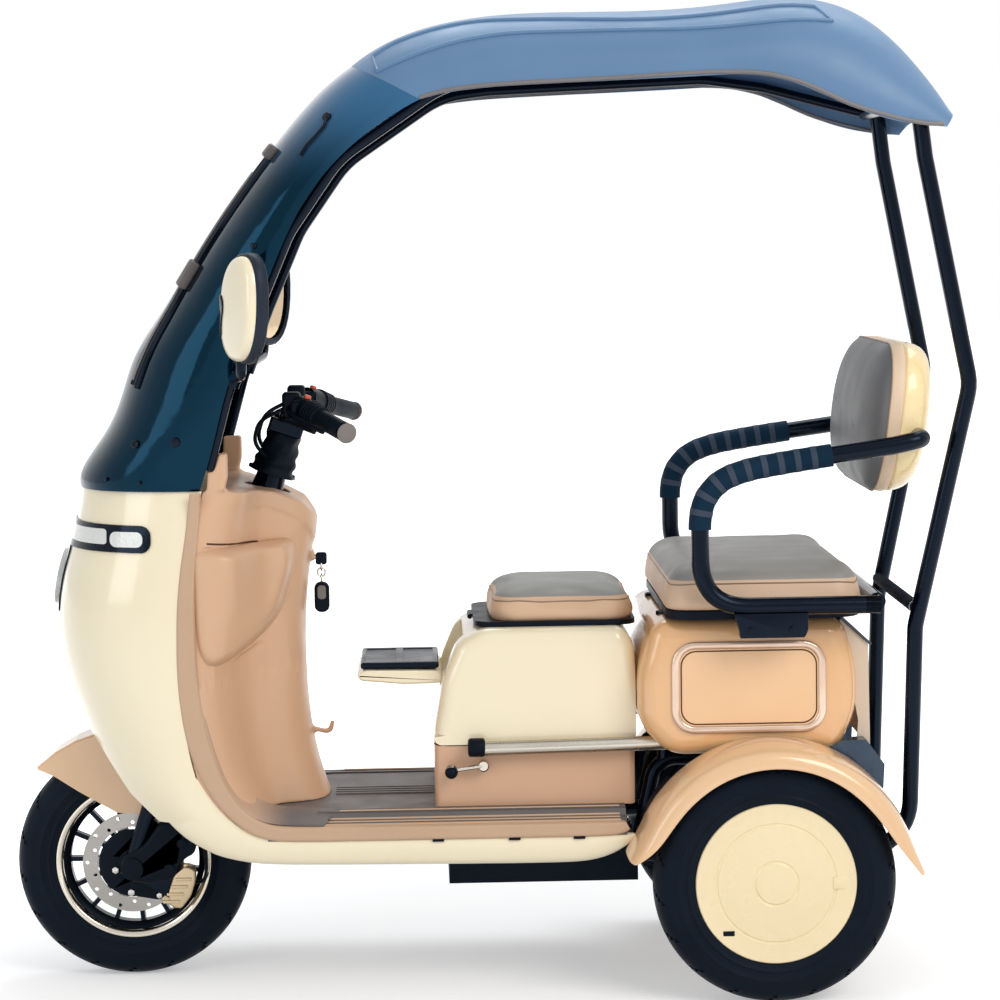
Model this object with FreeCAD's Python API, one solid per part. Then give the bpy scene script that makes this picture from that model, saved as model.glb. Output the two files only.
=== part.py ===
import FreeCAD, Part
import math
import os

from FreeCAD import Vector

# Electric passenger trike with a canopy: one steered front wheel, two rear wheels,
# a step-through floor, a driver's saddle and a rear passenger seat under a roof.
# +X points forward, +Y to the vehicle's left, +Z up. The origin is on the ground,
# below the middle of the vehicle's overall length. Millimetres and degrees.

# Driving dimensions
overall_length = 1690.0
wheelbase = 1120.0
tyre_radius = 209.0
tyre_width = 80.0
rear_track = 594.0
steering_rake = 18.5
fork_offset = 28.0

# Walls, clearances and cutting allowances
panel_wall = 4.0
seat_gap = 0.3
close_fit = 0.2
overrun = 40.0

front_axle_x = overall_length / 2 - tyre_radius
rear_axle_x = front_axle_x - wheelbase
axle_z = tyre_radius
rear_wheel_y = rear_track / 2
beyond = overall_length


# Shared forms
def between(low, high, share):
    return low + (high - low) * share


def placed(x0, x1, z0, z1, point_shares):
    """Outline points from shares of the rectangle between (x0, z0) and (x1, z1)."""
    return [(between(x0, x1, across), between(z0, z1, up)) for across, up in point_shares]


def box(x0, x1, y0, y1, z0, z1):
    return Part.makeBox(x1 - x0, y1 - y0, z1 - z0, Vector(x0, y0, z0))


def drum(radius, y0, y1, x, z):
    """Cylinder that lies across the vehicle."""
    return Part.makeCylinder(radius, y1 - y0, Vector(x, y0, z), Vector(0, 1, 0))


def cylinder_between(start, end, radius):
    axis = end - start
    return Part.makeCylinder(radius, axis.Length, start, axis)


def mirrored(shape):
    return shape.mirror(Vector(0, 0, 0), Vector(0, 1, 0))


def both_sides(shape):
    return Part.makeCompound([shape, mirrored(shape)])


def joined(shapes):
    return shapes[0].multiFuse(shapes[1:]).removeSplitter()


def rounded_outline(points, radius, flat):
    """Closed wire with each corner rounded; flat maps a 2-D point into space."""
    corners = [Vector(*point, 0) for point in points]
    arcs = []
    for index, corner in enumerate(corners):
        before = corners[index - 1]
        after = corners[(index + 1) % len(corners)]
        to_before = (before - corner).normalize()
        to_after = (after - corner).normalize()
        half = to_before.getAngle(to_after) / 2
        room = min((before - corner).Length, (after - corner).Length) * corner_room_share
        reach = min(radius / math.tan(half), room)
        used = reach * math.tan(half)
        centre = corner + (to_before + to_after).normalize() * (used / math.sin(half))
        middle = centre + (corner - centre).normalize() * used
        arcs.append([flat(p) for p in (corner + to_before * reach, middle, corner + to_after * reach)])
    edges = []
    for index, arc in enumerate(arcs):
        edges.append(Part.Arc(*arc).toShape())
        following = arcs[(index + 1) % len(arcs)][0]
        if not following.isEqual(arc[-1], close_fit / 100):
            edges.append(Part.makeLine(arc[-1], following))
    return Part.Wire(edges)


corner_room_share = 0.49


def side_plate(outline, y0, y1, radius=0.0):
    """Plate with an outline in side view, its corners rounded where a radius is given."""
    if radius:
        wire = rounded_outline(outline, radius, lambda p: Vector(p.x, y0, p.y))
    else:
        corners = [Vector(x, y0, z) for x, z in outline]
        wire = Part.makePolygon(corners + corners[:1])
    return Part.Face(wire).extrude(Vector(0, y1 - y0, 0))


def whole_width(outline, radius=0.0):
    return side_plate(outline, -beyond, beyond, radius)


def front_plate(outline, x0, x1, radius):
    """Plate with a rounded outline of (y, z) points in front view."""
    wire = rounded_outline(outline, radius, lambda p: Vector(x0, p.x, p.y))
    return Part.Face(wire).extrude(Vector(x1 - x0, 0, 0))


def rectangle(x0, x1, z0, z1):
    return [(x0, z0), (x1, z0), (x1, z1), (x0, z1)]


def level_rectangle(x0, x1, half_width, radius, z):
    return rounded_outline(rectangle(x0, x1, -half_width, half_width), radius, lambda p: Vector(p.x, p.y, z))


def rod(points, radius, bends=0.0):
    """Round bar along straight runs joined by arcs; bends is one radius or one for each corner."""
    places = [Vector(*point) for point in points]
    corners = len(places) - 2
    radii = bends if isinstance(bends, list) else [bends] * corners
    edges = []
    start = places[0]
    for index in range(corners):
        before, corner, after = places[index:index + 3]
        to_before = (before - corner).normalize()
        to_after = (after - corner).normalize()
        half = to_before.getAngle(to_after) / 2
        reach = radii[index] / math.tan(half)
        deep = radii[index] / math.sin(half) - radii[index]
        middle = corner + (to_before + to_after).normalize() * deep
        first = corner + to_before * reach
        last = corner + to_after * reach
        edges.append(Part.makeLine(start, first))
        edges.append(Part.Arc(first, middle, last).toShape())
        start = last
    edges.append(Part.makeLine(start, places[-1]))
    ring = Part.Wire(Part.makeCircle(radius, places[0], places[1] - places[0]))
    return Part.Wire(edges).makePipeShell([ring], True, False)


def wheel_turned(profile, centre):
    """Revolve a closed (radius, y) outline about the axle line through centre."""
    corners = [Vector(radius, y, 0) for radius, y in profile]
    face = Part.Face(Part.makePolygon(corners + corners[:1]))
    solid = face.revolve(Vector(0, 0, 0), Vector(0, 1, 0), 360)
    solid.translate(centre)
    return solid


def arch_points(crown, rim, half_width, bluntness, steps=4):
    """Superellipse across the vehicle, from the left edge over the crown to the right."""
    points = []
    for index in range(-steps, steps + 1):
        angle = math.radians(90.0 * index / steps)
        depth = abs(math.cos(angle)) ** (2 / bluntness) if abs(index) < steps else 0.0
        side = math.copysign(abs(math.sin(angle)) ** (2 / bluntness), -index)
        points.append(Vector(between(rim[0], crown[0], depth), half_width * side, between(rim[1], crown[1], depth)))
    return points


def spline(points):
    curve = Part.BSplineCurve()
    curve.interpolate(points)
    return curve.toShape()


def arch_section(crown, rim, half_width, bluntness, lift, wall):
    """Closed wire between an arch lifted outwards and the same arch less a wall."""
    span = math.hypot(crown[0] - rim[0], crown[1] - rim[1])
    curves = []
    for grow in (lift, lift - wall):
        top = (between(rim[0], crown[0], 1 + grow / span), between(rim[1], crown[1], 1 + grow / span))
        curves.append(arch_points(top, rim, half_width + grow, bluntness))
    outer, inner = curves
    return Part.Wire([
        spline(outer),
        Part.makeLine(outer[-1], inner[-1]),
        spline(list(reversed(inner))),
        Part.makeLine(inner[0], outer[0]),
    ])


# Steering line: a point by its distance up the line from the axle's level, its distance
# ahead of the axle line and its distance to the left
def steer_point(up, ahead=0.0, left=0.0):
    rake = math.radians(steering_rake)
    x = front_axle_x - up * math.sin(rake) + ahead * math.cos(rake)
    z = axle_z + up * math.cos(rake) + ahead * math.sin(rake)
    return Vector(x, left, z)


def steer_line(start, end, radius, ahead=0.0, left=0.0):
    return cylinder_between(steer_point(start, ahead, left), steer_point(end, ahead, left), radius)


def square_to_steering(shape, up, ahead=0.0):
    shape.rotate(Vector(0, 0, 0), Vector(0, 1, 0), -steering_rake)
    shape.translate(steer_point(up, ahead))
    return shape


# Nose and inner shield: both follow these levels and meet along one edge
body_bottom = 235.0
body_top = 915.0
nose_front_x = 754.0
meeting_x = 529.0
nose_half_width = 251.0
column_rear_x = 322.0
nose_bluntness = 2.7
# height, nose front, meeting edge, half width, column rear face
nose_level_shares = [
    (0.0, 0.743, 0.718, 0.972, 0.814),
    (0.081, 0.809, 0.832, 0.980, 0.832),
    (0.169, 0.875, 0.922, 0.984, 0.901),
    (0.272, 0.920, 0.968, 0.988, 0.957),
    (0.390, 0.958, 0.992, 0.996, 0.988),
    (0.493, 0.987, 1.0, 1.0, 0.997),
    (0.599, 1.0, 1.0, 1.0, 0.994),
    (0.704, 0.993, 0.994, 0.988, 0.975),
    (0.810, 0.969, 0.962, 0.968, 0.941),
    (0.897, 0.950, 0.938, 0.944, 0.932),
    (0.968, 0.942, 0.915, 0.920, 0.969),
    (1.0, 0.938, 0.904, 0.908, 1.0),
]
nose_top = 889.0
nose_seam_z = 316.0
arch_rear_x = 393.0
arch_front_x = 722.0
arch_top = 497.0
arch_shares = [(1.0, 1.0), (0.87, 0.81), (0.70, 0.49), (0.47, 0.22), (0.26, 0.08), (0.0, 0.0)]


def nose_levels():
    levels = []
    for up, front, edge, width, column in nose_level_shares:
        z = between(body_bottom, body_top, up)
        levels.append((z, nose_front_x * front, meeting_x * edge, nose_half_width * width, column_rear_x * column))
    return levels


def nose_shell(lift, wall):
    """Shell that follows the nose, its outer face lifted by lift."""
    wires = []
    for z, front, edge, half_width, _ in nose_levels():
        wires.append(arch_section((front, z), (edge, z), half_width, nose_bluntness, lift, wall))
    return Part.makeLoft(wires, True, False)


def wheel_arch_line():
    return placed(arch_rear_x, arch_front_x, body_bottom, arch_top, arch_shares)


# Lamps: a black band with two lenses a side, and a black panel with the headlamp
lamp_band_rear_x = 574.0
lamp_band_bottom = 785.0
lamp_band_top = 831.0
lamp_band_rise = 4.0
lamp_band_corner = 18.0
lamp_band_lift = 3.0
side_lens_rear_x = 588.0
side_lens_front_x = 646.0
side_lens_inset = 10.0
side_lens_corner = 11.0
front_lens_rear_x = 652.0
lens_wall = 2.0
lamp_panel_bottom = 664.0
lamp_panel_top_half = 104.0
lamp_panel_bottom_half = 72.0
lamp_panel_corner = 30.0
headlamp_radius = 50.0
headlamp_z = 722.0
headlamp_lift = 12.0


def lamp_band(grow=0.0):
    outline = [
        (lamp_band_rear_x - grow, lamp_band_bottom - grow),
        (nose_front_x + overrun, lamp_band_bottom + lamp_band_rise - grow),
        (nose_front_x + overrun, lamp_band_top + lamp_band_rise + grow),
        (lamp_band_rear_x - grow, lamp_band_top + grow),
    ]
    return whole_width(outline, lamp_band_corner)


def lamp_panel(grow=0.0):
    top = lamp_band_bottom + lamp_band_corner
    outline = [
        (-lamp_panel_bottom_half - grow, lamp_panel_bottom - grow),
        (lamp_panel_bottom_half + grow, lamp_panel_bottom - grow),
        (lamp_panel_top_half + grow, top),
        (-lamp_panel_top_half - grow, top),
    ]
    return front_plate(outline, meeting_x, nose_front_x + overrun, lamp_panel_corner)


def front_fairing():
    shell = nose_shell(0.0, panel_wall)
    shell = shell.common(box(0.0, beyond, -beyond, beyond, nose_seam_z, nose_top))
    line = wheel_arch_line()[:4]
    foot = nose_seam_z - overrun
    opening = [(nose_front_x + overrun, foot), (nose_front_x + overrun, arch_top + panel_wall)] + line + [(line[-1][0], foot)]
    shell = shell.cut(whole_width(opening))
    return shell.cut(lamp_band(seat_gap)).cut(lamp_panel(seat_gap))


def headlamp_opening(grow=0.0):
    return Part.makeCylinder(headlamp_radius + grow, beyond, Vector(meeting_x, 0, headlamp_z), Vector(1, 0, 0))


def lens_windows(grow=0.0):
    low = lamp_band_bottom + side_lens_inset - grow
    high = lamp_band_top - side_lens_inset + grow
    side = rectangle(side_lens_rear_x - grow, side_lens_front_x + grow, low, high)
    front = rectangle(front_lens_rear_x - grow, nose_front_x + overrun, low + lamp_band_rise, high + lamp_band_rise)
    return [whole_width(side, side_lens_corner), whole_width(front, side_lens_corner / 2)]


def lamp_surround():
    shell = nose_shell(lamp_band_lift, panel_wall + lamp_band_lift)
    surround = joined([shell.common(lamp_band()), shell.common(lamp_panel())])
    for window in lens_windows(seat_gap):
        surround = surround.cut(window)
    return surround.cut(headlamp_opening(seat_gap))


def front_lenses():
    skin = nose_shell(lamp_band_lift - close_fit, lens_wall)
    lenses = [skin.common(window) for window in lens_windows()]
    bulge = nose_shell(headlamp_lift, lens_wall + headlamp_lift)
    lenses.append(bulge.common(headlamp_opening()))
    return Part.makeCompound(lenses)


# Inner shield with its column, dash, two pockets, bag hook, lock and screen ears
trim_width = 42.0
trim_tuck = 9.0
shoulder_run = 28.0
shoulder_tuck = 38.0
column_half_width = 84.0
waist_run = 92.0
waist_out = 34.0
knee_run = 38.0
knee_out = 6.0
face_run = 7.0
face_in = 34.0
dash_rear_x = 288.0
dash_bottom = 780.0
dash_lip = 26.0
dash_lip_lift = 3.0
dash_shares = [(1.0, 1.0), (0.45, 1.0), (0.32, 0.98), (0.17, 0.88), (0.07, 0.69), (0.02, 0.42), (0.0, 0.0)]
dash_slip_share = 0.3
trim_slip_share = 0.3
floor_top = 322.0
steering_hole_radius = 40.0
pocket_rear_x = 338.0
pocket_front_x = 507.0
pocket_bottom = 574.0
pocket_top = 792.0
pocket_depth = 26.0
pocket_wall = 3.0
pocket_rim = 8.0
pocket_corner = 24.0
pocket_inner_y = 60.0
pocket_shares = [(1.0, 1.0), (0.0, 0.99), (0.04, 0.58), (0.28, 0.21), (0.77, 0.0), (0.99, 0.12)]
hook_z = 438.0
hook_reach = 32.0
hook_drop = 8.0
hook_rise = 14.0
hook_radius = 5.0
hook_bend = 8.0
lock_z = 750.0
lock_radius = 9.0
lock_length = 14.0
ear_rear_x = 441.0
ear_front_x = 477.0
ear_top = 953.0
ear_thickness = 30.0
ear_shares = [(0.17, 0.0), (0.0, 0.35), (0.0, 1.0), (0.95, 1.0), (1.0, 0.0)]


def shield_edge(z, edge, half_width, column, lift):
    rear = column - lift
    waist = column_half_width + lift
    side = half_width + min(lift, 0.0)
    left = [
        Vector(edge - seat_gap, side, z),
        Vector(edge - trim_width, side - trim_tuck + lift * trim_slip_share, z),
        Vector(edge - trim_width - shoulder_run, side - shoulder_tuck + lift, z),
        Vector(rear + waist_run, waist + waist_out, z),
        Vector(rear + knee_run, waist + knee_out, z),
        Vector(rear + face_run, waist - face_in, z),
    ]
    right = [Vector(p.x, -p.y, p.z) for p in reversed(left)]
    return left + [Vector(rear, 0, z)] + right


def shield_block(lift, front=0.0):
    """Solid behind the meeting edge, its face lifted out; front carries it past that edge."""
    wires = []
    for z, _, edge, half_width, column in nose_levels():
        points = shield_edge(z, edge, half_width, column, lift)
        edges = [spline(points)]
        ahead = [points[-1] + Vector(front, 0, 0), points[0] + Vector(front, 0, 0)]
        if front:
            edges.append(Part.makeLine(points[-1], ahead[0]))
        edges.append(Part.makeLine(*ahead))
        if front:
            edges.append(Part.makeLine(ahead[1], points[0]))
        wires.append(Part.Wire(edges))
    return Part.makeLoft(wires, True, False)


def under_dash(drop):
    """Everything below the dash line, which slopes down and rolls over to the rear."""
    line = placed(dash_rear_x, nose_front_x, dash_bottom, nose_top, dash_shares)
    top = [(x + drop * dash_slip_share, z - drop) for x, z in line]
    back = dash_rear_x - nose_half_width
    return whole_width(top + [(back, dash_bottom - drop), (back, 0.0), (nose_front_x, 0.0)])


def inner_shield():
    outer = shield_block(0.0).common(under_dash(0.0))
    lip = shield_block(dash_lip_lift).common(under_dash(0.0)).cut(under_dash(dash_lip))
    hollow = shield_block(-panel_wall, overrun).common(under_dash(panel_wall))
    shell = outer.fuse(lip).cut(hollow)
    shell = shell.cut(box(0.0, beyond, -beyond, beyond, 0.0, floor_top))
    shell = shell.cut(steer_line(stem_top / 2, stem_top + overrun, steering_hole_radius, -fork_offset))
    face_x = column_rear_x * nose_level_shares[3][-1]
    hook = rod([
        (face_x + panel_wall, 0.0, hook_z), (face_x + panel_wall - hook_reach, 0.0, hook_z - hook_drop),
        (face_x - hook_reach, 0.0, hook_z + hook_rise),
    ], hook_radius, hook_bend)
    lock = Part.makeCylinder(lock_radius, lock_length, Vector(lock_face(), 0, lock_z), Vector(1, 0, 0))
    pieces = [shell, glove_pocket(1), glove_pocket(-1), hook, lock, screen_ear(1), screen_ear(-1)]
    return joined(pieces)


def lock_face():
    return column_rear_x * nose_level_shares[7][-1] - lock_length + panel_wall / 2


def glove_pocket(side):
    outline = placed(pocket_rear_x, pocket_front_x, pocket_bottom, pocket_top, pocket_shares)
    mouth = placed(pocket_rear_x + pocket_rim, pocket_front_x - pocket_rim,
                   pocket_bottom + pocket_rim, pocket_top + overrun, pocket_shares)
    near, far = sorted((side * pocket_inner_y, side * (nose_half_width + overrun)))
    pouch = shield_block(pocket_depth).common(side_plate(outline, near, far, pocket_corner))
    pouch = pouch.cut(shield_block(-panel_wall / 2, overrun))
    room = shield_block(pocket_depth - pocket_wall, overrun).common(side_plate(mouth, near, far, pocket_corner))
    return pouch.cut(room.cut(shield_block(close_fit, overrun)))


def screen_ear(side):
    """Socket behind the windscreen's lower corner, which takes the canopy rail's foot."""
    outline = placed(ear_rear_x, ear_front_x, nose_top, ear_top, ear_shares)
    outer = rail_y(screen_rows()[0][2]) + rail_radius + panel_wall
    near, far = sorted((side * (outer - ear_thickness), side * outer))
    ear = side_plate(outline, near, far)
    root = box(ear_rear_x, ear_front_x, near, far, nose_top - ear_thickness, nose_top + close_fit)
    ear = joined([ear, root.common(shield_block(0.0))])
    ear = ear.cut(canopy_shell(screen_rows(), seat_gap, screen_wall + 2 * seat_gap))
    return ear.cut(rail(side, seat_gap))


# Sills: cream lower edges of the body, from the wheel arch to the rear wheels
sill_top = 281.0
sill_bottom = 231.0
sill_rear_x = -256.0
sill_inset = 4.0
sill_flange = 52.0
sill_flange_rear_x = -215.0
sill_rise_front_x = 471.0
sill_rise_shares = [(0.0, 0.0), (0.36, 0.2), (0.74, 0.63), (1.0, 1.0)]


def side_sills():
    half = floor_half_width - sill_inset
    straight = [
        box(sill_rear_x, arch_rear_x, half - panel_wall, half, sill_bottom, sill_top),
        box(sill_flange_rear_x, arch_rear_x, half - sill_flange, half, sill_bottom, sill_bottom + panel_wall),
    ]
    band = nose_shell(0.0, panel_wall).common(box(arch_rear_x - panel_wall, nose_front_x, -beyond, beyond,
                                                  0.0, nose_seam_z - seat_gap))
    whole = joined([band] + straight + [mirrored(piece) for piece in straight])
    rise = placed(arch_rear_x, sill_rise_front_x, sill_top, nose_seam_z, sill_rise_shares)
    arch = wheel_arch_line()[2:]
    rear = [(sill_rear_x, sill_bottom), (sill_rear_x, sill_top)]
    return whole.common(whole_width(arch + rear + rise))


# Floor: one moulded board with raised ribs and turned-down sides
floor_half_width = 249.0
floor_front_x = 384.0
floor_rear_x = -236.0
floor_wall = 5.0
floor_edge_drop = 22.0
floor_shoulder = 38.0
floor_shoulder_drop = 10.0
floor_edge_gap = 2.0
rib_height = 2.5
rib_half_width = 5.0
side_rib_y = 189.0
side_rib_spread = 9.0
foot_rib_y = 20.0
foot_rib_spread = 10.0
side_rib_front_x = 300.0
foot_rib_front_x = 272.0
floor_edge_shares = [(1.0, 0.0), (0.63, 0.45), (0.21, 0.55), (0.0, 1.0)]


def floor_edge(inset):
    """Rolled edge from the turned-down side up to the flat of the board."""
    y1 = floor_half_width - inset
    y0 = floor_half_width - floor_shoulder
    top = floor_top - inset
    return placed(y0, y1, top - floor_edge_drop, top, floor_edge_shares)


def floor_board():
    low = sill_top + floor_edge_gap
    outer = floor_edge(0.0)
    inner = list(reversed(floor_edge(floor_wall)))
    outline = [(floor_half_width, low)] + outer + [(0.0, floor_top), (0.0, floor_top - floor_wall)]
    outline += inner + [(floor_half_width - floor_wall, low)]
    corners = [Vector(floor_rear_x, y, z) for y, z in outline]
    half = Part.Face(Part.makePolygon(corners + corners[:1])).extrude(Vector(floor_front_x - floor_rear_x, 0, 0))
    pieces = [half, mirrored(half)]
    for middle, spread, rear, front in (
        (side_rib_y, side_rib_spread, floor_rear_x, side_rib_front_x),
        (foot_rib_y, foot_rib_spread, box_front_x + floor_edge_gap, foot_rib_front_x),
    ):
        for side in (1, -1):
            for edge in (1, -1):
                y = side * (middle + edge * spread)
                pieces.append(box(rear, front, y - rib_half_width, y + rib_half_width,
                                  floor_top - floor_wall / 2, floor_top + rib_height))
    board = joined(pieces).cut(down_tube(seat_gap))
    for side in (1, -1):
        board = board.cut(seat_hoop_leg(side, seat_gap))
    return board


# Frame: headstock, down tube, floor rails, seat hoops and rear cross tubes
rail_tube_radius = 15.0
rail_tube_z = 252.0
rail_spread = 150.0
rail_rear_x = -655.0
rail_bend = 60.0
down_tube_radius = 20.0
down_tube_bend = 60.0
down_tube_top = 417.0
down_tube_knee_x = 408.0
down_tube_knee_z = 430.0
down_tube_foot_x = 376.0
down_tube_end_x = 300.0
headstock_radius = 26.0
headstock_low = 330.0
headstock_high = 480.0
stem_radius = 15.0
hoop_radius = 12.0
hoop_x = 56.0
hoop_spread = 130.0
hoop_top = 416.0
rear_rail_radius = 13.0
rear_rail_z = 395.0
rear_rail_spread = 130.0
rear_rail_front_x = -296.0
rear_rail_foot_x = -262.0
rear_rail_end_x = -640.0
rear_rail_bend = 45.0
bench_leg_front_x = -310.0
bench_leg_rear_x = -560.0
rear_cross_x = -198.0
cross_xs = [down_tube_end_x, hoop_x, rear_cross_x]
cross_reach = 210.0
damper_cross_x = -400.0
damper_cross_reach = 190.0
rear_cross_drop = 6.0


def down_tube(grow=0.0):
    top = steer_point(down_tube_top, -fork_offset)
    return rod([
        (top.x, 0.0, top.z), (down_tube_knee_x, 0.0, down_tube_knee_z),
        (down_tube_foot_x, 0.0, rail_tube_z), (down_tube_end_x, 0.0, rail_tube_z),
    ], down_tube_radius + grow, down_tube_bend)


def seat_hoop_leg(side, grow=0.0):
    return rod([(hoop_x, side * hoop_spread, rail_tube_z), (hoop_x, side * hoop_spread, hoop_top)], hoop_radius + grow)


def bench_leg(x, side, grow=0.0):
    return rod([(x, side * rear_rail_spread, rear_rail_z), (x, side * rear_rail_spread, housing_top + housing_lift)],
               hoop_radius + grow)


def across(x, reach, z, radius):
    return rod([(x, -reach, z), (x, reach, z)], radius)


def main_frame():
    tubes = [steer_line(headstock_low, headstock_high, headstock_radius, -fork_offset), down_tube()]
    for side in (1, -1):
        rail_line = side * rail_spread
        hoop_line = side * rear_rail_spread
        tubes.append(rod([
            (down_tube_foot_x - down_tube_radius, 0.0, rail_tube_z), (down_tube_end_x, rail_line, rail_tube_z),
            (rail_rear_x, rail_line, rail_tube_z),
        ], rail_tube_radius, rail_bend))
        tubes.append(rod([
            (rear_rail_foot_x, rail_line, rail_tube_z), (rear_rail_front_x, hoop_line, rear_rail_z),
            (rear_rail_end_x, hoop_line, rear_rail_z),
        ], rear_rail_radius, rear_rail_bend))
        tubes.append(rod([
            (rear_rail_end_x + overrun, hoop_line, rear_rail_z), (rear_rail_end_x, rail_line, rail_tube_z),
        ], hoop_radius))
        tubes.append(seat_hoop_leg(side))
        tubes.append(bench_leg(bench_leg_front_x, side))
        tubes.append(bench_leg(bench_leg_rear_x, side))
        tubes.append(axle_arm_bracket(side))
    tubes += [across(x, cross_reach, rail_tube_z, hoop_radius) for x in cross_xs]
    tubes.append(across(hoop_x, hoop_spread, hoop_top, hoop_radius))
    tubes.append(across(damper_cross_x, damper_cross_reach, rear_rail_z, rear_rail_radius))
    post_face = post_foot_spread - post_radius - 2 * seat_gap
    tubes.append(across(rail_rear_x, post_face, rail_tube_z - rear_cross_drop, rail_tube_radius))
    bore = steer_line(headstock_low - overrun, headstock_high + overrun, stem_radius + seat_gap, -fork_offset)
    return joined(tubes).cut(bore)


# Battery and controller under the floor: one plain block, hung from the cross tubes
battery_front_x = 72.0
battery_rear_x = -262.0
battery_half_width = 134.0
battery_bottom = 178.0


def battery_box():
    top = rail_tube_z - hoop_radius - seat_gap
    return box(battery_rear_x, battery_front_x, -battery_half_width, battery_half_width, battery_bottom, top)


# Driver's seat box: tan lower half, cream upper half with faceted shoulders
box_front_x = 94.0
box_rear_x = -256.5
box_half_width = 172.0
box_split = 431.0
box_top = 634.0
box_crease = 581.0
box_corner = 40.0
facet_front = 40.0
facet_side = 30.0
facet_rear = 12.0
waist_tuck = 3.0
kick_tuck = 13.0
kick_height = 45.0
recess_half_width = 112.0
recess_bottom = 524.0
recess_depth = 54.0
storage_front_x = 6.0
storage_rear_x = -230.0
storage_half_width = 128.0


def box_level(z, inset, front_in, side_in, rear_in):
    return level_rectangle(box_rear_x + inset + rear_in, box_front_x - inset - front_in,
                           box_half_width - inset - side_in, box_corner, z)


def upper_box_block(inset):
    body = Part.makeLoft([
        box_level(box_split, inset, waist_tuck, waist_tuck, waist_tuck),
        box_level(between(box_split, box_crease, 0.5), inset, 0.0, 0.0, 0.0),
        box_level(box_crease, inset, waist_tuck, waist_tuck, waist_tuck),
    ], True, False)
    facets = Part.makeLoft([
        box_level(box_crease, inset, waist_tuck, waist_tuck, waist_tuck),
        box_level(box_top - inset, inset, facet_front, facet_side, facet_rear),
    ], True, True)
    return joined([body, facets])


def folding_seat_recess(grow=0.0):
    rear = box_front_x - recess_depth - grow
    half = recess_half_width + grow
    return box(rear, box_front_x + overrun, -half, half, recess_bottom - grow, box_top + overrun)


def seat_box_upper():
    outer = upper_box_block(0.0)
    inner = upper_box_block(panel_wall)
    floorless = box(box_rear_x + panel_wall, box_front_x - panel_wall - waist_tuck, panel_wall - box_half_width + waist_tuck,
                    box_half_width - panel_wall - waist_tuck, box_split - overrun, box_split + overrun)
    shell = outer.cut(inner).cut(floorless)
    niche = folding_seat_recess(panel_wall).common(outer)
    shell = joined([shell, niche]).cut(folding_seat_recess())
    mouth = box(storage_rear_x, storage_front_x, -storage_half_width, storage_half_width,
                box_top - overrun / 2, box_top + overrun)
    return joined([shell.cut(mouth), saddle_knuckle_block(1), saddle_knuckle_block(-1)])


def lower_box_block(inset, low, high):
    return Part.makeLoft([
        box_level(low, inset, kick_tuck, kick_tuck, kick_tuck),
        box_level(floor_top + kick_height, inset, waist_tuck, waist_tuck, waist_tuck),
        box_level(high, inset, 0.0, 0.0, 0.0),
    ], True, False)


def seat_box_lower():
    outer = lower_box_block(0.0, floor_top + seat_gap, box_split - seat_gap)
    inner = lower_box_block(panel_wall, floor_top, box_split)
    return outer.cut(inner)


# Saddle: a pan that hinges at its front edge, and its cushion
saddle_front_x = 22.0
saddle_rear_x = -262.0
saddle_half_width = 146.0
saddle_corner = 40.0
saddle_pan_height = 9.0
saddle_hinge_ahead = 5.0
saddle_barrel_half = 30.0
saddle_knuckle = 14.0
saddle_top = 702.0
saddle_cushion_front_in = 26.0
cushion_corner = 48.0
cushion_side_in = 4.0
# height and inset of a cushion's levels, the inset as a share of cushion_crown
cushion_level_shares = [(0.0, 0.27), (0.25, 0.0), (0.6, 0.05), (0.85, 0.36), (1.0, 1.0)]
cushion_crown = 22.0


def saddle_pan_bottom():
    return box_top + 2 * seat_gap


def saddle_hinge(y0, y1):
    """Barrel on the hinge line, with a web back to the pan's front edge or down to the box."""
    return drum(saddle_pan_height / 2, y0, y1, saddle_front_x + saddle_hinge_ahead, saddle_pan_bottom() + saddle_pan_height / 2)


def saddle_pan():
    wire = level_rectangle(saddle_rear_x, saddle_front_x, saddle_half_width, saddle_corner, saddle_pan_bottom())
    pan = Part.Face(wire).extrude(Vector(0, 0, saddle_pan_height))
    middle = saddle_pan_bottom() + saddle_pan_height / 2
    web = box(saddle_front_x - saddle_hinge_ahead, saddle_front_x + saddle_hinge_ahead, -saddle_barrel_half, saddle_barrel_half,
              middle, saddle_pan_bottom() + saddle_pan_height)
    return joined([pan, web, saddle_hinge(-saddle_barrel_half, saddle_barrel_half)])


def saddle_knuckle_block(side):
    near, far = sorted((side * (saddle_barrel_half + seat_gap), side * (saddle_barrel_half + saddle_knuckle)))
    hinge_x = saddle_front_x + saddle_hinge_ahead
    half = saddle_pan_height / 2
    foot = box(hinge_x - half / 2, hinge_x + half, near, far, box_top - panel_wall / 2, saddle_pan_bottom() + half)
    return joined([saddle_hinge(near, far), foot])


def cushion_block(x0, x1, half_width, z0, z1):
    wires = []
    for up, inset_share in cushion_level_shares:
        inset = cushion_crown * inset_share
        wires.append(level_rectangle(x0 + inset, x1 - inset, half_width - inset, cushion_corner, between(z0, z1, up)))
    return Part.makeLoft(wires, True, False)


def saddle_cushion():
    bottom = saddle_pan_bottom() + saddle_pan_height + seat_gap
    return cushion_block(saddle_rear_x + cushion_side_in, saddle_front_x - saddle_cushion_front_in,
                         saddle_half_width - cushion_side_in, bottom, saddle_top)


# Child seat that folds up into the front of the seat box
child_hinge_x = 82.0
child_hinge_z = 536.0
child_pin_radius = 5.0
child_deck_rear_x = 78.0
child_deck_front_x = 230.0
child_deck_bottom = 531.0
child_deck_top = 556.0
child_deck_half_width = 104.0
child_deck_shares = [(0.0, 0.0), (0.0, 0.48), (0.04, 0.72), (0.95, 1.0), (1.0, 0.68), (0.84, 0.08)]
child_pad_side_in = 6.0
child_pad_rear_in = 6.0
child_pad_front_in = 8.0
child_pad_height = 13.0


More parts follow.
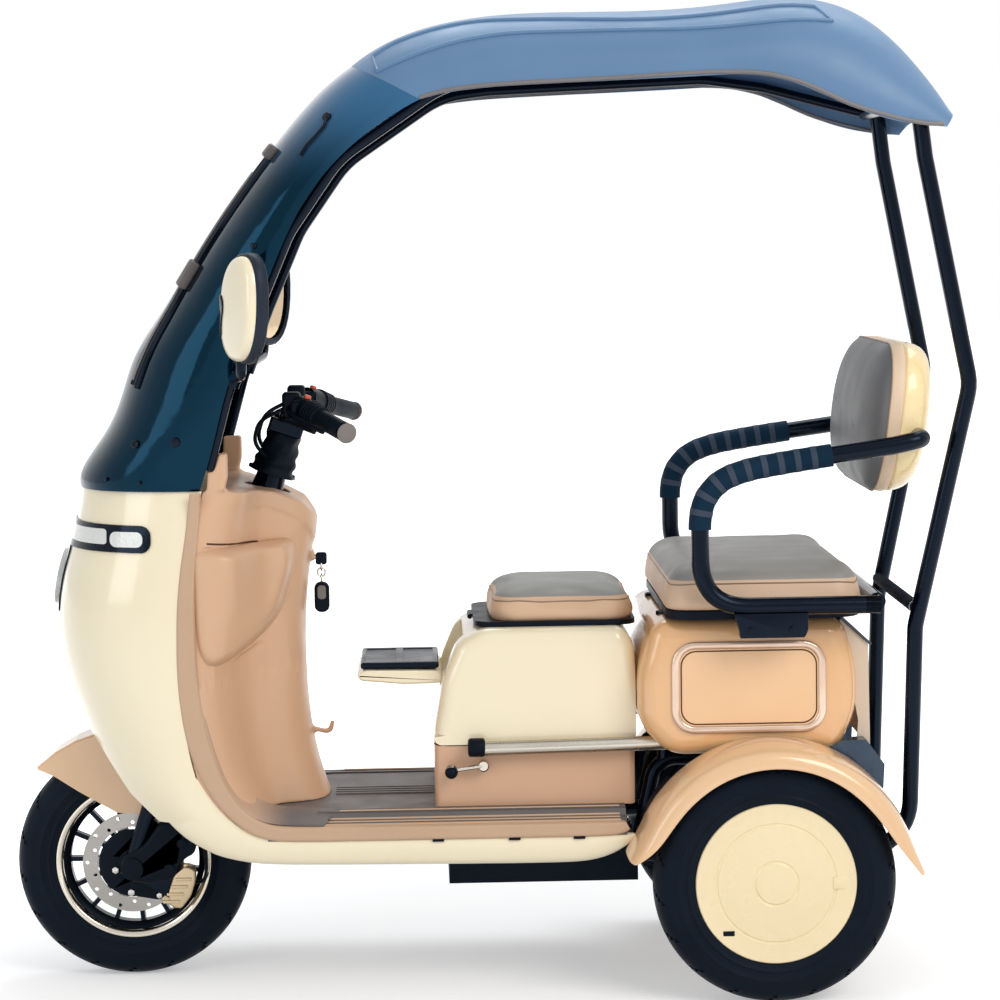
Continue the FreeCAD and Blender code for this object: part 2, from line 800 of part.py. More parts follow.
def child_deck_line():
    return placed(child_deck_rear_x, child_deck_front_x, child_deck_bottom, child_deck_top, child_deck_shares)


def child_seat_deck():
    deck = side_plate(child_deck_line(), -child_deck_half_width, child_deck_half_width)
    reach = recess_half_width - seat_gap
    return deck.fuse(drum(child_pin_radius, -reach, reach, child_hinge_x, child_hinge_z))


def child_seat_pad():
    rear, front = child_deck_line()[2:4]
    lift = seat_gap / 2
    outline = [
        (rear[0], rear[1] + lift), (rear[0], rear[1] + child_pad_height),
        (front[0] - child_pad_front_in, front[1] + child_pad_height), (front[0], front[1] + child_pad_height / 2),
        (front[0], front[1] + lift),
    ]
    half = child_deck_half_width - child_pad_side_in
    return side_plate(outline, -half, half)


# Rear seat housing: a rounded hollow box with a framed plate on each side
housing_front_x = -256.0
housing_rear_x = -640.0
housing_half_width = 240.0
housing_bottom = 414.0
housing_top = 653.0
housing_corner = 45.0
housing_edge = 16.0
housing_lift = 3.0
housing_shares = [(1.0, 0.28), (0.93, 1.0), (0.08, 1.0), (0.0, 0.23), (0.05, 0.0), (0.80, 0.0)]
housing_door_front_x = -350.0
housing_door_rear_x = -570.0
housing_door_half_width = 100.0
plate_front_x = -320.0
plate_rear_x = -572.0
plate_bottom = 460.0
plate_top = 612.0
plate_corner = 34.0
plate_frame = 13.0
plate_depth = 4.0


def housing_line(grow=0.0):
    return placed(housing_rear_x - grow, housing_front_x + grow, housing_bottom - grow, housing_top + grow, housing_shares)


def housing_block(grow=0.0):
    """Rounded box: the full outline in the middle, drawn in by the edge at both sides."""
    half = housing_half_width + grow
    middle = side_plate(housing_line(grow), housing_edge - half, half - housing_edge, housing_corner)
    shoulders = []
    for side in (1, -1):
        wires = []
        for out_share, in_share in ((0.0, 0.0), (0.5, 0.13), (0.87, 0.5), (1.0, 1.0)):
            y = side * (half - housing_edge + housing_edge * out_share)
            outline = housing_line(grow - housing_edge * in_share)
            wires.append(rounded_outline(outline, housing_corner, lambda p, y=y: Vector(p.x, y, p.y)))
        shoulders.append(Part.makeLoft(wires, True, True))
    return joined([middle] + shoulders)


def rear_housing():
    shell = housing_block().cut(housing_block(-panel_wall))
    shell = shell.cut(box(housing_door_rear_x, housing_door_front_x, -housing_door_half_width, housing_door_half_width,
                          housing_bottom - overrun, housing_bottom + overrun))
    for side in (1, -1):
        shell = shell.cut(bench_leg(bench_leg_front_x, side, seat_gap))
        shell = shell.cut(bench_leg(bench_leg_rear_x, side, seat_gap))
    return shell


def side_plate_block(inset, y0, y1):
    outline = rectangle(plate_rear_x + inset, plate_front_x - inset, plate_bottom + inset, plate_top - inset)
    return side_plate(outline, y0, y1, plate_corner - inset / 2)


def side_plates():
    face = housing_half_width + seat_gap
    plate = side_plate_block(0.0, face, face + plate_depth)
    field = side_plate_block(plate_frame, face + plate_depth / 2, face + plate_depth + overrun)
    return both_sides(plate.cut(field))


# Tail: a beige cowl behind the housing with a dark sloping lid, and the tail lamps
tail_top = 646.0
tail_bottom = 424.0
tail_front_x = -612.0
tail_rear_x = -664.0
tail_half_width = 205.0
tail_corner = 12.0
tail_shares = [(1.0, 1.0), (0.06, 0.80), (0.0, 0.0), (0.46, 0.0), (0.40, 0.20), (1.0, 0.97)]
cap_thickness = 5.0
cap_overhang = 4.0
plate_hole_radius = 3.5
plate_hole_spacing = 100.0
plate_hole_z = 520.0
lamp_front_x = -560.0
lamp_rear_x = -684.0
lamp_low = 350.0
lamp_high = 440.0
lamp_inner_y = 150.0
tail_lamp_shares = [(1.0, 0.96), (0.26, 1.0), (0.0, 0.51), (0.02, 0.0), (0.35, 0.47), (0.68, 0.69)]


def tail_line():
    return placed(tail_rear_x, tail_front_x, tail_bottom, tail_top, tail_shares)


def tail_clear_of_housing(piece, grow=seat_gap):
    return piece.cut(housing_block(grow))


def rear_trunk():
    cowl = side_plate(tail_line(), -tail_half_width, tail_half_width)
    room = side_plate(tail_line(), panel_wall - tail_half_width, tail_half_width - panel_wall)
    room.translate(Vector(panel_wall, 0, -panel_wall))
    cowl = tail_clear_of_housing(cowl.cut(room))
    for side in (1, -1):
        spot = Vector(tail_rear_x - overrun, side * plate_hole_spacing / 2, plate_hole_z)
        cowl = cowl.cut(Part.makeCylinder(plate_hole_radius, overrun + beyond, spot, Vector(1, 0, 0)))
    return max(cowl.Solids, key=lambda piece: piece.Volume)


def tail_cap():
    front, rear = [Vector(x, 0, z) for x, z in tail_line()[:2]]
    slope = (front - rear).normalize()
    rise = Vector(-slope.z, 0, slope.x)
    low_front = front + rise * seat_gap
    low_rear = rear + rise * seat_gap - slope * cap_overhang
    corners = [low_rear, low_front, low_front + rise * cap_thickness, low_rear + rise * cap_thickness]
    half = tail_half_width + cap_overhang
    cap = side_plate([(p.x, p.z) for p in corners], -half, half)
    return tail_clear_of_housing(cap)


def tail_lamps():
    outline = placed(lamp_rear_x, lamp_front_x, lamp_low, lamp_high, tail_lamp_shares)
    lamp = side_plate(outline, lamp_inner_y, housing_half_width)
    lamp = tail_clear_of_housing(lamp)
    lamp = lamp.cut(box(tail_rear_x - seat_gap, lamp_front_x, 0.0, tail_half_width + seat_gap, tail_bottom - seat_gap, tail_top))
    lamp = lamp.cut(drum(liner_radius + liner_wall + seat_gap, 0.0, beyond, rear_axle_x, axle_z))
    return both_sides(max(lamp.Solids, key=lambda piece: piece.Volume))


# Rear bench: pan, cushion, arm tubes with foam grips, and the backrest
bench_front_x = -300.0
bench_rear_x = -650.0
bench_half_width = 270.0
bench_bottom = 671.0
bench_top = 743.0
bench_pan_in = 8.0
arm_tube_radius = 15.5
arm_y = 301.0
arm_low_z = 683.0
arm_rear_x = -668.0
arm_front_x = -362.0
arm_elbow_x = -352.0
arm_elbow_z = 832.0
arm_back_x = -611.0
arm_back_z = 927.0
arm_end_x = -733.0
arm_end_z = 960.0
arm_end_bend = 26.0
arm_back_bend = 200.0
arm_elbow_bend = 78.0
arm_low_bend = 70.0
arm_rear_bend = 38.0
arm_grip_radius = 20.0
grip_start_share = 0.06
grip_end_share = 0.52
foot_front_x = -421.0
foot_rear_x = -545.0
foot_bottom = 618.0
foot_plate = 6.0
foot_shelf = 10.0
foot_side = 10.0
foot_end_in = 10.0


def bench_pan():
    low = housing_top + housing_lift + seat_gap
    wire = level_rectangle(bench_rear_x + bench_pan_in, bench_front_x - bench_pan_in,
                           bench_half_width - bench_pan_in, cushion_corner, low)
    return Part.Face(wire).extrude(Vector(0, 0, bench_bottom - seat_gap - low))


def bench_cushion():
    return cushion_block(bench_rear_x, bench_front_x, bench_half_width, bench_bottom, bench_top)


def arm_line(side):
    y = side * arm_y
    return [
        (arm_end_x, side * (backrest_half_width - arm_tube_radius), arm_end_z), (arm_end_x, y, arm_end_z),
        (arm_back_x, y, arm_back_z), (arm_elbow_x, y, arm_elbow_z), (arm_front_x, y, arm_low_z), (arm_rear_x, y, arm_low_z),
    ]


def arm_foot(side):
    face = side * (housing_half_width + seat_gap)
    tube = side * arm_y
    shelf_top = bench_bottom - foot_shelf - (bench_bottom - housing_top - housing_lift)
    pieces = []
    for first, second, rear, front, low, high in (
        (face, tube, foot_rear_x, foot_front_x, shelf_top - foot_shelf, shelf_top),
        (tube, tube - side * foot_side, foot_rear_x, foot_front_x, shelf_top - foot_shelf, arm_low_z),
        (face, face + side * foot_plate, foot_rear_x + foot_end_in, foot_front_x - foot_end_in, foot_bottom, shelf_top),
    ):
        near, far = sorted((first, second))
        pieces.append(box(rear, front, near, far, low, high))
    return pieces


def arm_hoop(grow=0.0):
    """One tube: from the backrest forward over an arm rest, back under the seat and round to the other side."""
    bends = [arm_end_bend, arm_back_bend, arm_elbow_bend, arm_low_bend, arm_rear_bend]
    route = arm_line(1) + list(reversed(arm_line(-1)))
    return rod(route, arm_tube_radius + grow, bends + list(reversed(bends)))


def arm_tubes():
    return joined([arm_hoop()] + arm_foot(1) + arm_foot(-1))


def arm_grips():
    sleeves = []
    for side in (1, -1):
        rear, elbow, low = arm_line(side)[2:5]
        first = [between(a, b, grip_start_share) for a, b in zip(rear, elbow)]
        last = [between(a, b, grip_end_share) for a, b in zip(elbow, low)]
        sleeves.append(rod([first, elbow, last], arm_grip_radius, arm_elbow_bend).cut(arm_hoop(seat_gap)))
    return Part.makeCompound(sleeves)


backrest_half_width = 256.0
backrest_bottom = 878.0
backrest_top = 1134.0
backrest_corner = 78.0
backrest_seam_x = -704.0
backrest_pad = 40.0
backrest_pad_crown = 16.0
backrest_shell_depth = 48.0
backrest_shell_crown = 62.0
backrest_lean = 6.0
# distance from the seam and inset, as shares of the depth and the crown
pad_shares = [(0.0, 0.06), (0.65, 0.0), (0.9, 0.35), (1.0, 1.0)]
shell_shares = [(1.0, 1.0), (0.79, 0.42), (0.46, 0.13), (0.0, 0.0)]


def backrest_layers(start, depth, crown, layer_shares):
    wires = []
    for out_share, in_share in layer_shares:
        inset = crown * in_share
        half = backrest_half_width - inset
        outline = rectangle(-half, half, backrest_bottom + inset, backrest_top - inset)
        x = start + depth * out_share
        wires.append(rounded_outline(outline, backrest_corner, lambda p, x=x: Vector(x, p.x, p.y)))
    block = Part.makeLoft(wires, True, False)
    block.rotate(Vector(backrest_seam_x, 0, backrest_bottom), Vector(0, 1, 0), -backrest_lean)
    return block


def backrest_cushion():
    return backrest_layers(backrest_seam_x + seat_gap, backrest_pad, backrest_pad_crown, pad_shares)


def backrest_shell():
    shell = backrest_layers(backrest_seam_x, -backrest_shell_depth, backrest_shell_crown, shell_shares)
    for side in (1, -1):
        shell = shell.cut(rod(arm_line(side)[:2], arm_tube_radius + seat_gap))
    return shell


# Canopy: windscreen and roof are two sheets that meet edge to edge. Each row is a
# station: crown x and z, rim x and z, half width, as shares of the canopy's box.
canopy_front_x = 711.0
canopy_rear_x = -812.0
canopy_base = nose_top + 2 * seat_gap
canopy_top = 1719.0
canopy_half_width = 272.0
canopy_bluntness = 2.9
screen_wall = 4.0
roof_wall = 4.5
screen_row_shares = [
    (1.0, 0.0, 0.854, 0.0, 0.864),
    (0.999, 0.029, 0.848, 0.031, 0.875),
    (0.979, 0.087, 0.838, 0.091, 0.904),
    (0.948, 0.199, 0.821, 0.205, 0.941),
    (0.908, 0.345, 0.789, 0.356, 0.971),
    (0.847, 0.514, 0.749, 0.526, 0.989),
    (0.780, 0.680, 0.692, 0.675, 0.996),
    (0.725, 0.800, 0.632, 0.761, 1.0),
    (0.679, 0.871, 0.600, 0.793, 1.0),
]
roof_row_shares = [
    (0.679, 0.871, 0.600, 0.793, 1.0),
    (0.618, 0.936, 0.567, 0.807, 1.0),
    (0.534, 0.972, 0.514, 0.817, 1.0),
    (0.390, 0.981, 0.390, 0.826, 1.0),
    (0.250, 0.994, 0.254, 0.836, 1.0),
    (0.146, 1.0, 0.185, 0.818, 0.996),
    (0.074, 0.939, 0.116, 0.764, 0.985),
    (0.024, 0.837, 0.051, 0.731, 0.963),
    (0.0, 0.760, 0.014, 0.724, 0.941),
]
joint_gap = 0.3


def canopy_rows(row_shares):
    rows = []
    for crown_x, crown_z, rim_x, rim_z, width in row_shares:
        crown, rim = placed(canopy_rear_x, canopy_front_x, canopy_base, canopy_top, [(crown_x, crown_z), (rim_x, rim_z)])
        rows.append((crown, rim, canopy_half_width * width))
    return rows


def screen_rows():
    return canopy_rows(screen_row_shares)


def roof_rows():
    return canopy_rows(roof_row_shares)


def canopy_shell(rows, lift, wall):
    wires = [arch_section(crown, rim, half_width, canopy_bluntness, lift, wall) for crown, rim, half_width in rows]
    return Part.makeLoft(wires, True, False)


def canopy_joint():
    """Thin slice between the two sheets, along their common station."""
    crown, rim, half_width = roof_rows()[0]
    run = Vector(crown[0] - rim[0], 0, crown[1] - rim[1])
    along = run.normalize()
    slab = Part.makeBox(2 * beyond, 2 * beyond, joint_gap, Vector(-beyond, -beyond, -joint_gap / 2))
    slab.rotate(Vector(0, 0, 0), Vector(0, 1, 0), -math.degrees(math.atan2(along.z, along.x)))
    slab.translate(Vector(rim[0], 0, rim[1]))
    return slab


def windscreen():
    return canopy_shell(screen_rows(), 0.0, screen_wall)


def canopy_roof():
    return canopy_shell(roof_rows(), 0.0, roof_wall).cut(canopy_joint())


# Canopy frame: a rail under each rim, carried by the two bent rear posts
post_radius = 14.0
rail_radius = 9.0
rail_bend_radius = 160.0
screen_rail_inset = -3.0
roof_rail_inset = 14.0
rail_foot_z = 925.0
post_bend = 90.0
post_top_x = -722.0
post_shoulder_x = -757.0
post_waist_x = -742.0
post_foot_x = -731.0
post_bow = 2.6
post_shoulder_z = 1440.0
post_bow_z = 1052.0
post_waist_z = 632.0
post_foot_z = 262.0
post_end_z = 236.0
post_top_spread = 226.0
post_bow_spread = 234.0
post_foot_spread = 212.0
post_bar_radius = 10.0
post_bar_z = 666.0
top_bar_radius = 12.0
top_bar_z = 1530.0


def rail_y(half_width):
    return half_width - roof_wall - 2 * seat_gap - rail_radius


def rail_point(row, inset):
    crown, rim, half_width = row
    run = Vector(crown[0] - rim[0], 0, crown[1] - rim[1]).normalize()
    return Vector(rim[0], rail_y(half_width), rim[1]) + run * inset


def rail(side, grow=0.0):
    screen = [rail_point(row, screen_rail_inset) for row in screen_rows()[2:7]]
    roof = [rail_point(row, roof_rail_inset) for row in roof_rows()[:6]]
    lead = (screen[0] - screen[1]).normalize()
    foot = screen[0] + lead * ((screen[0].z - rail_foot_z) / -lead.z)
    points = [foot] + screen[1:] + roof[1:]
    return rod([(p.x, side * p.y, p.z) for p in points], rail_radius + grow, rail_bend_radius)


def rear_post(side):
    bow_x = post_radius - overall_length / 2 - post_bow
    return rod([
        (post_top_x, side * post_top_spread, canopy_top),
        (post_shoulder_x, side * between(post_top_spread, post_bow_spread, 0.5), post_shoulder_z),
        (bow_x, side * post_bow_spread, post_bow_z),
        (post_waist_x, side * post_foot_spread, post_waist_z),
        (post_foot_x, side * post_foot_spread, post_foot_z),
        (rail_rear_x, side * post_foot_spread, post_end_z),
    ], post_radius, post_bend)


def under_roof():
    """The space below the roof's inner face, down to the rim."""
    wires = []
    for crown, rim, half_width in roof_rows()[2:]:
        span = math.hypot(crown[0] - rim[0], crown[1] - rim[1])
        share = 1 - (roof_wall + seat_gap) / span
        top = (between(rim[0], crown[0], share), between(rim[1], crown[1], share))
        arch = arch_points(top, rim, half_width - roof_wall - seat_gap, canopy_bluntness)
        wires.append(Part.Wire([spline(arch), Part.makeLine(arch[-1], arch[0])]))
    return Part.makeLoft(wires, True, False)


def canopy_frame():
    below = box(-beyond, beyond, -beyond, beyond, 0.0, roof_rows()[7][1][1] + panel_wall)
    room = under_roof().fuse(below)
    posts = [rear_post(side).common(room) for side in (1, -1)]
    bars = [
        across(post_waist_x, post_foot_spread, post_bar_z, post_bar_radius),
        across(post_top_x, post_top_spread, top_bar_z, top_bar_radius),
    ]
    rails = [rail(side) for side in (1, -1)]
    end = rail_point(roof_rows()[5], roof_rail_inset)
    ties = [
        rod([(end.x, side * end.y, end.z), (post_top_x, side * post_top_spread, top_bar_z)], rail_radius) for side in (1, -1)
    ]
    return joined(posts + bars + rails + ties)


# Windscreen wiper: arm and blade that lie along the left half of the screen
wiper_arm_lift = 10.0
wiper_blade_lift = 6.0
wiper_arm_radius = 5.0
wiper_blade_radius = 4.0
wiper_pivot_radius = 11.0
wiper_joint_length = 46.0
wiper_joint_half = 11.0
# height share up the screen and share of the half width, from the pivot to the blade's end
wiper_pivot_share = (0.700, 0.20)
wiper_joint_share = (0.455, 0.46)
wiper_tip_share = (0.190, 0.80)


def screen_surface(up_share, side_share, lift):
    """Point on the windscreen at a height and a side share, lifted off its face."""
    rows = screen_row_shares
    for low, high in zip(rows, rows[1:]):
        if low[1] <= up_share <= high[1]:
            part = (up_share - low[1]) / (high[1] - low[1])
            break
    crown_x, crown_z, rim_x, rim_z, width = [between(a, b, part) for a, b in zip(low, high)]
    crown, rim = placed(canopy_rear_x, canopy_front_x, canopy_base, canopy_top, [(crown_x, crown_z), (rim_x, rim_z)])
    depth = (1 - side_share ** canopy_bluntness) ** (1 / canopy_bluntness)
    run = Vector(crown[0] - rim[0], 0, crown[1] - rim[1])
    y = canopy_half_width * width * side_share
    outward = (run.normalize() * depth ** (canopy_bluntness - 1) + Vector(0, 1, 0) * side_share ** (canopy_bluntness - 1)).normalize()
    place = Vector(between(rim[0], crown[0], depth), y, between(rim[1], crown[1], depth))
    return place + outward * lift


def wiper_line(first, last, lift, steps=4):
    return [
        screen_surface(between(first[0], last[0], i / steps), between(first[1], last[1], i / steps), lift)
        for i in range(steps + 1)
    ]


def screen_wiper():
    arm = spline_bar(wiper_line(wiper_pivot_share, wiper_joint_share, wiper_arm_lift), wiper_arm_radius)
    blade = spline_bar(wiper_line(wiper_joint_share, wiper_tip_share, wiper_blade_lift), wiper_blade_radius)
    pivot_low = screen_surface(*wiper_pivot_share, seat_gap + close_fit)
    pivot_high = screen_surface(*wiper_pivot_share, wiper_arm_lift + wiper_arm_radius)
    pivot = cylinder_between(pivot_low, pivot_high, wiper_pivot_radius)
    along = wiper_line(wiper_pivot_share, wiper_joint_share, wiper_arm_lift)
    run = (along[-1] - along[-2]).normalize()
    joint = cylinder_between(along[-1] - run * wiper_joint_length / 3, along[-1] + run * wiper_joint_length * 2 / 3, wiper_joint_half)
    return joined([arm, blade, pivot, joint]).cut(canopy_shell(screen_rows(), seat_gap, screen_wall + overrun))


def spline_bar(points, radius):
    path = Part.Wire(spline(points))
    ring = Part.Wire(Part.makeCircle(radius, points[0], points[1] - points[0]))
    return path.makePipeShell([ring], True, False)


# Mirrors: a stem clamped to the canopy rail, a cream cover and the glass
mirror_x = 392.0
mirror_y = 400.0
mirror_z = 1204.0
mirror_turn = 32.0
mirror_half_width = 55.0
mirror_half_height = 92.0
mirror_depth = 30.0
mirror_corner = 34.0
mirror_glass_wall = 3.0
mirror_glass_in = 8.0
mirror_shares = [(-0.7, -0.9), (0.75, -1.0), (1.0, 0.0), (0.6, 1.0), (-0.8, 0.85), (-1.0, -0.1)]
mirror_stem_radius = 9.0
mirror_stem_out_y = 392.0
mirror_stem_out_z = 1094.0
mirror_stem_x = 404.0
mirror_stem_bend = 22.0
mirror_clamp_radius = 15.0
mirror_clamp_z = 1082.0
mirror_clamp_half = 14.0


def mirror_head(start, end, inset):
    half_width = mirror_half_width - inset
    half_height = mirror_half_height - inset
    outline = [(half_width * across_share, half_height * up_share) for across_share, up_share in mirror_shares]
    head = front_plate(outline, start, end, mirror_corner)
    head.rotate(Vector(0, 0, 0), Vector(0, 0, 1), mirror_turn)
    head.translate(Vector(mirror_x, mirror_y, mirror_z))
    return head


def mirror_covers():
    cover = mirror_head(0.0, mirror_depth, 0.0)
    return both_sides(cover)


def mirror_glasses():
    return both_sides(mirror_head(-seat_gap - mirror_glass_wall, -seat_gap, mirror_glass_in))


def mirror_stems():
    first, last = [rail_point(row, screen_rail_inset) for row in screen_rows()[3:5]]
    share = (mirror_clamp_z - first.z) / (last.z - first.z)
    hold = first + (last - first) * share
    run = (last - first).normalize()
    clamp = cylinder_between(hold - run * mirror_clamp_half, hold + run * mirror_clamp_half, mirror_clamp_radius)
    out = Vector(mirror_stem_x, mirror_stem_out_y, mirror_stem_out_z)
    top = Vector(mirror_stem_x, mirror_stem_out_y, mirror_z)
    stem = rod([tuple(hold), tuple(out), tuple(top)], mirror_stem_radius, mirror_stem_bend)
    stem = joined([stem, clamp]).cut(rail(1, seat_gap))
    stem = stem.cut(mirror_head(-overrun, mirror_depth + overrun, -seat_gap))
    stem = stem.cut(canopy_shell(screen_rows(), seat_gap, screen_wall + 2 * seat_gap))
    return both_sides(max(stem.Solids, key=lambda piece: piece.Volume))


# Rear fenders: an outer arch with a rounded shoulder, a skirt and flared tips, and
# the black liner between it and the body
fender_radius = 246.0
fender_inner_y = 245.0
fender_outer_y = 362.0
fender_skirt = 42.0
fender_shoulder = 14.0
fender_flare = 16.0
fender_front_angle = 12.0
fender_rear_angle = 174.0
liner_radius = 236.0
liner_wall = 4.0
liner_inner_y = 188.0
liner_sweep = 144.0
# share of the arch's angle and share of the flare
fender_flare_shares = [
    (0.0, 1.0), (0.03, 0.38), (0.075, 0.06), (0.235, 0.0), (0.48, 0.0), (0.73, 0.0), (0.91, 0.0), (0.96, 0.19), (1.0, 0.75),
]
shoulder_shares = [(1.0, 0.0), (0.72, 0.72), (0.0, 1.0)]


def fender_section(angle, radius):
    corner = placed(radius - fender_shoulder, radius, fender_outer_y - fender_shoulder, fender_outer_y, shoulder_shares)
    inner = [(r - panel_wall, y - panel_wall) for r, y in reversed(corner)]
    points = [(radius - panel_wall, fender_inner_y), (radius, fender_inner_y)] + corner
    points += [(radius - fender_skirt, fender_outer_y), (radius - fender_skirt, fender_outer_y - panel_wall)] + inner
    turn = math.radians(angle)
    corners = [Vector(rear_axle_x + r * math.cos(turn), y, axle_z + r * math.sin(turn)) for r, y in points]
    return Part.makePolygon(corners + corners[:1])


def rear_fenders():
    wires = []
    for turn_share, flare_share in fender_flare_shares:
        angle = between(fender_front_angle, fender_rear_angle, turn_share)
        wires.append(fender_section(angle, fender_radius + fender_flare * flare_share))
    return both_sides(Part.makeLoft(wires, True, False))


def inner_fenders():
    outline = rectangle(liner_radius, liner_radius + liner_wall, liner_inner_y, fender_inner_y - seat_gap)
    corners = [Vector(r, y, 0) for r, y in outline]
    face = Part.Face(Part.makePolygon(corners + corners[:1]))
    arc = face.revolve(Vector(0, 0, 0), Vector(0, -1, 0), liner_sweep)
    arc.rotate(Vector(0, 0, 0), Vector(0, 1, 0), -fender_front_angle)
    arc.translate(Vector(rear_axle_x, 0, axle_z))
    arc = arc.cut(housing_block(seat_gap))
    body_side = housing_half_width + seat_gap
    arc = arc.cut(box(-beyond, beyond, 0.0, body_side, housing_bottom - overrun, beyond))
    arc = arc.cut(box(sill_rear_x - seat_gap, beyond, 0.0, beyond, 0.0, sill_top + seat_gap))
    return both_sides(max(arc.Solids, key=lambda piece: piece.Volume))


# Guard bars beside the seat box, parking lever and key
guard_bar_radius = 12.5
guard_bar_y = 193.0
guard_bar_z = 428.0
guard_bar_rise = 5.0
guard_bar_front_x = 18.0
guard_bar_rear_x = -320.0
guard_cap_radius = 14.5
guard_stub_radius = 9.0
lever_x = 10.0
lever_z = 397.0
lever_pivot_radius = 8.0
lever_pivot_length = 20.0
lever_arm_radius = 4.0
lever_reach = 56.0
lever_drop = 6.0
lever_ball_radius = 11.0
key_length = 22.0
key_half_width = 6.0
key_thickness = 4.0
key_ring_radius = 9.0
key_ring_wire = 1.8
fob_half_width = 11.0
fob_depth = 13.0
fob_length = 86.0
fob_corner = 10.0


def guard_bars():
    bar = rod([(guard_bar_front_x, guard_bar_y, guard_bar_z), (guard_bar_rear_x, guard_bar_y, guard_bar_z + guard_bar_rise)],
              guard_bar_radius)
    bar = bar.cut(housing_block(seat_gap))
    bar = max(bar.Solids, key=lambda piece: piece.Volume)
    stub = drum(guard_stub_radius, box_half_width + 2 * seat_gap, guard_bar_y, guard_bar_front_x - panel_wall, guard_bar_z)
    cap = Part.makeSphere(guard_cap_radius, Vector(guard_bar_front_x, guard_bar_y, guard_bar_z))
    return both_sides(joined([bar, stub, cap]))


def parking_lever():
    face = box_half_width + 2 * seat_gap
    pivot = drum(lever_pivot_radius, face, face + lever_pivot_length, lever_x, lever_z)
    tip_y = face + lever_pivot_length + lever_arm_radius
    arm = rod([(lever_x, face + lever_pivot_length - lever_arm_radius, lever_z), (lever_x + lever_reach, tip_y, lever_z - lever_drop)],
              lever_arm_radius)
    ball = Part.makeSphere(lever_ball_radius, Vector(lever_x + lever_reach, tip_y, lever_z - lever_drop))
    return joined([pivot, arm, ball])


def key_fob():
    face = lock_face() - seat_gap
    half = key_thickness / 2
    key = box(face - key_length, face, -half, half, lock_z - key_half_width, lock_z + key_half_width)
    ring_z = lock_z - key_half_width - key_ring_radius / 2
    ring = Part.makeTorus(key_ring_radius, key_ring_wire, Vector(face - key_length / 2, 0, ring_z), Vector(1, 0, 0))
    top = ring_z - key_ring_radius + key_ring_wire
    outline = rectangle(-fob_half_width, fob_half_width, top - fob_length, top)
    middle = face - key_length / 2
    fob = front_plate(outline, middle - fob_depth / 2, middle + fob_depth / 2, fob_corner)
    return joined([key, ring, fob])


# Rear axle with its motor drum and trailing arms, and the two dampers
axle_tube_radius = 22.0
axle_tube_reach = 230.0
motor_radius = 62.0
motor_half_width = 60.0
spindle_radius = 10.0
spindle_reach = 20.0
arm_spread = 195.0
arm_radius = 13.0
arm_pivot_x = -241.0
arm_pivot_z = 243.0
arm_pivot_radius = 16.0
arm_pivot_pin = 8.0
arm_pivot_half = 14.0
bracket_wall = 6.0
damper_radius = 20.0
damper_top_x = -470.0
damper_top_z = 384.2
damper_low_y = 190.0
damper_top_y = 158.0
damper_lift = 26.2
spring_radius = 26.0


def rear_axle():
    pieces = [
        drum(axle_tube_radius, -axle_tube_reach, axle_tube_reach, rear_axle_x, axle_z),
        drum(motor_radius, -motor_half_width, motor_half_width, rear_axle_x, axle_z),
        drum(spindle_radius, -rear_wheel_y - spindle_reach, rear_wheel_y + spindle_reach, rear_axle_x, axle_z),
    ]
    for side in (1, -1):
        y = side * arm_spread
        pieces.append(rod([(rear_axle_x, y, axle_z), (arm_pivot_x, y, arm_pivot_z)], arm_radius))
        pieces.append(drum(arm_pivot_radius, y - arm_pivot_half, y + arm_pivot_half, arm_pivot_x, arm_pivot_z))
    return joined(pieces)


def axle_arm_bracket(side):
    """Plate on the floor rail that carries a trailing arm's pivot."""
    near = side * rail_spread
    far = side * (arm_spread - arm_pivot_half - seat_gap)
    low, high = sorted((near, far))
    plate = drum(arm_pivot_radius, low, high, arm_pivot_x, arm_pivot_z)
    return plate


def shock_absorbers():
    foot = Vector(rear_axle_x, damper_low_y, axle_z + damper_lift)
    return both_sides(cylinder_between(foot, Vector(damper_top_x, damper_top_y, damper_top_z), damper_radius))


# Wheels: rims with the same bead seats; the front one is cast with spokes
rim_radius = 139.5
bead_radius = 131.5
well_radius = 119.0
rim_half_width = 33.0
bead_half = 27.5
bead_inner = 18.0
well_half = 12.0
flange_half = 30.0
rim_wall = 4.0
tread_shoulder_radius = 200.0
tread_edge_radius = 206.5
side_wall_radius = 168.0
side_wall_top_radius = 188.0
tread_half = 20.0
shoulder_in = 8.0
tyre_wall = 8.0
bead_tuck = 2.6
spoke_count = 15
spoke_half_width = 9.0
spoke_half_thickness = 4.0
front_hub_radius = 30.0
front_hub_half = 35.0
axle_radius = 10.0


def tyre(centre):
    half = tyre_width / 2
    outside = [
        (bead_radius + seat_gap, bead_half - seat_gap), (rim_radius + seat_gap, flange_half - seat_gap),
        (rim_radius + tyre_wall, flange_half + rim_wall), (side_wall_radius, half), (side_wall_top_radius, half - panel_wall / 2),
        (tread_shoulder_radius, half - shoulder_in), (tread_edge_radius, half - tread_half),
    ]
    inside = [
        (bead_radius + seat_gap, bead_inner), (rim_radius + tyre_wall, flange_half - tyre_wall),
        (side_wall_radius, half - tyre_wall), (side_wall_top_radius, half - tyre_wall - panel_wall / 2),
        (tread_shoulder_radius - tyre_wall / 2, half - tread_half),
    ]
    profile = outside + [(tyre_radius, 0.0)] + [(r, -y) for r, y in reversed(outside)]
    profile += [(r, -y) for r, y in inside] + [(tyre_radius - tyre_wall, 0.0)] + list(reversed(inside))
    return wheel_turned(profile, centre)


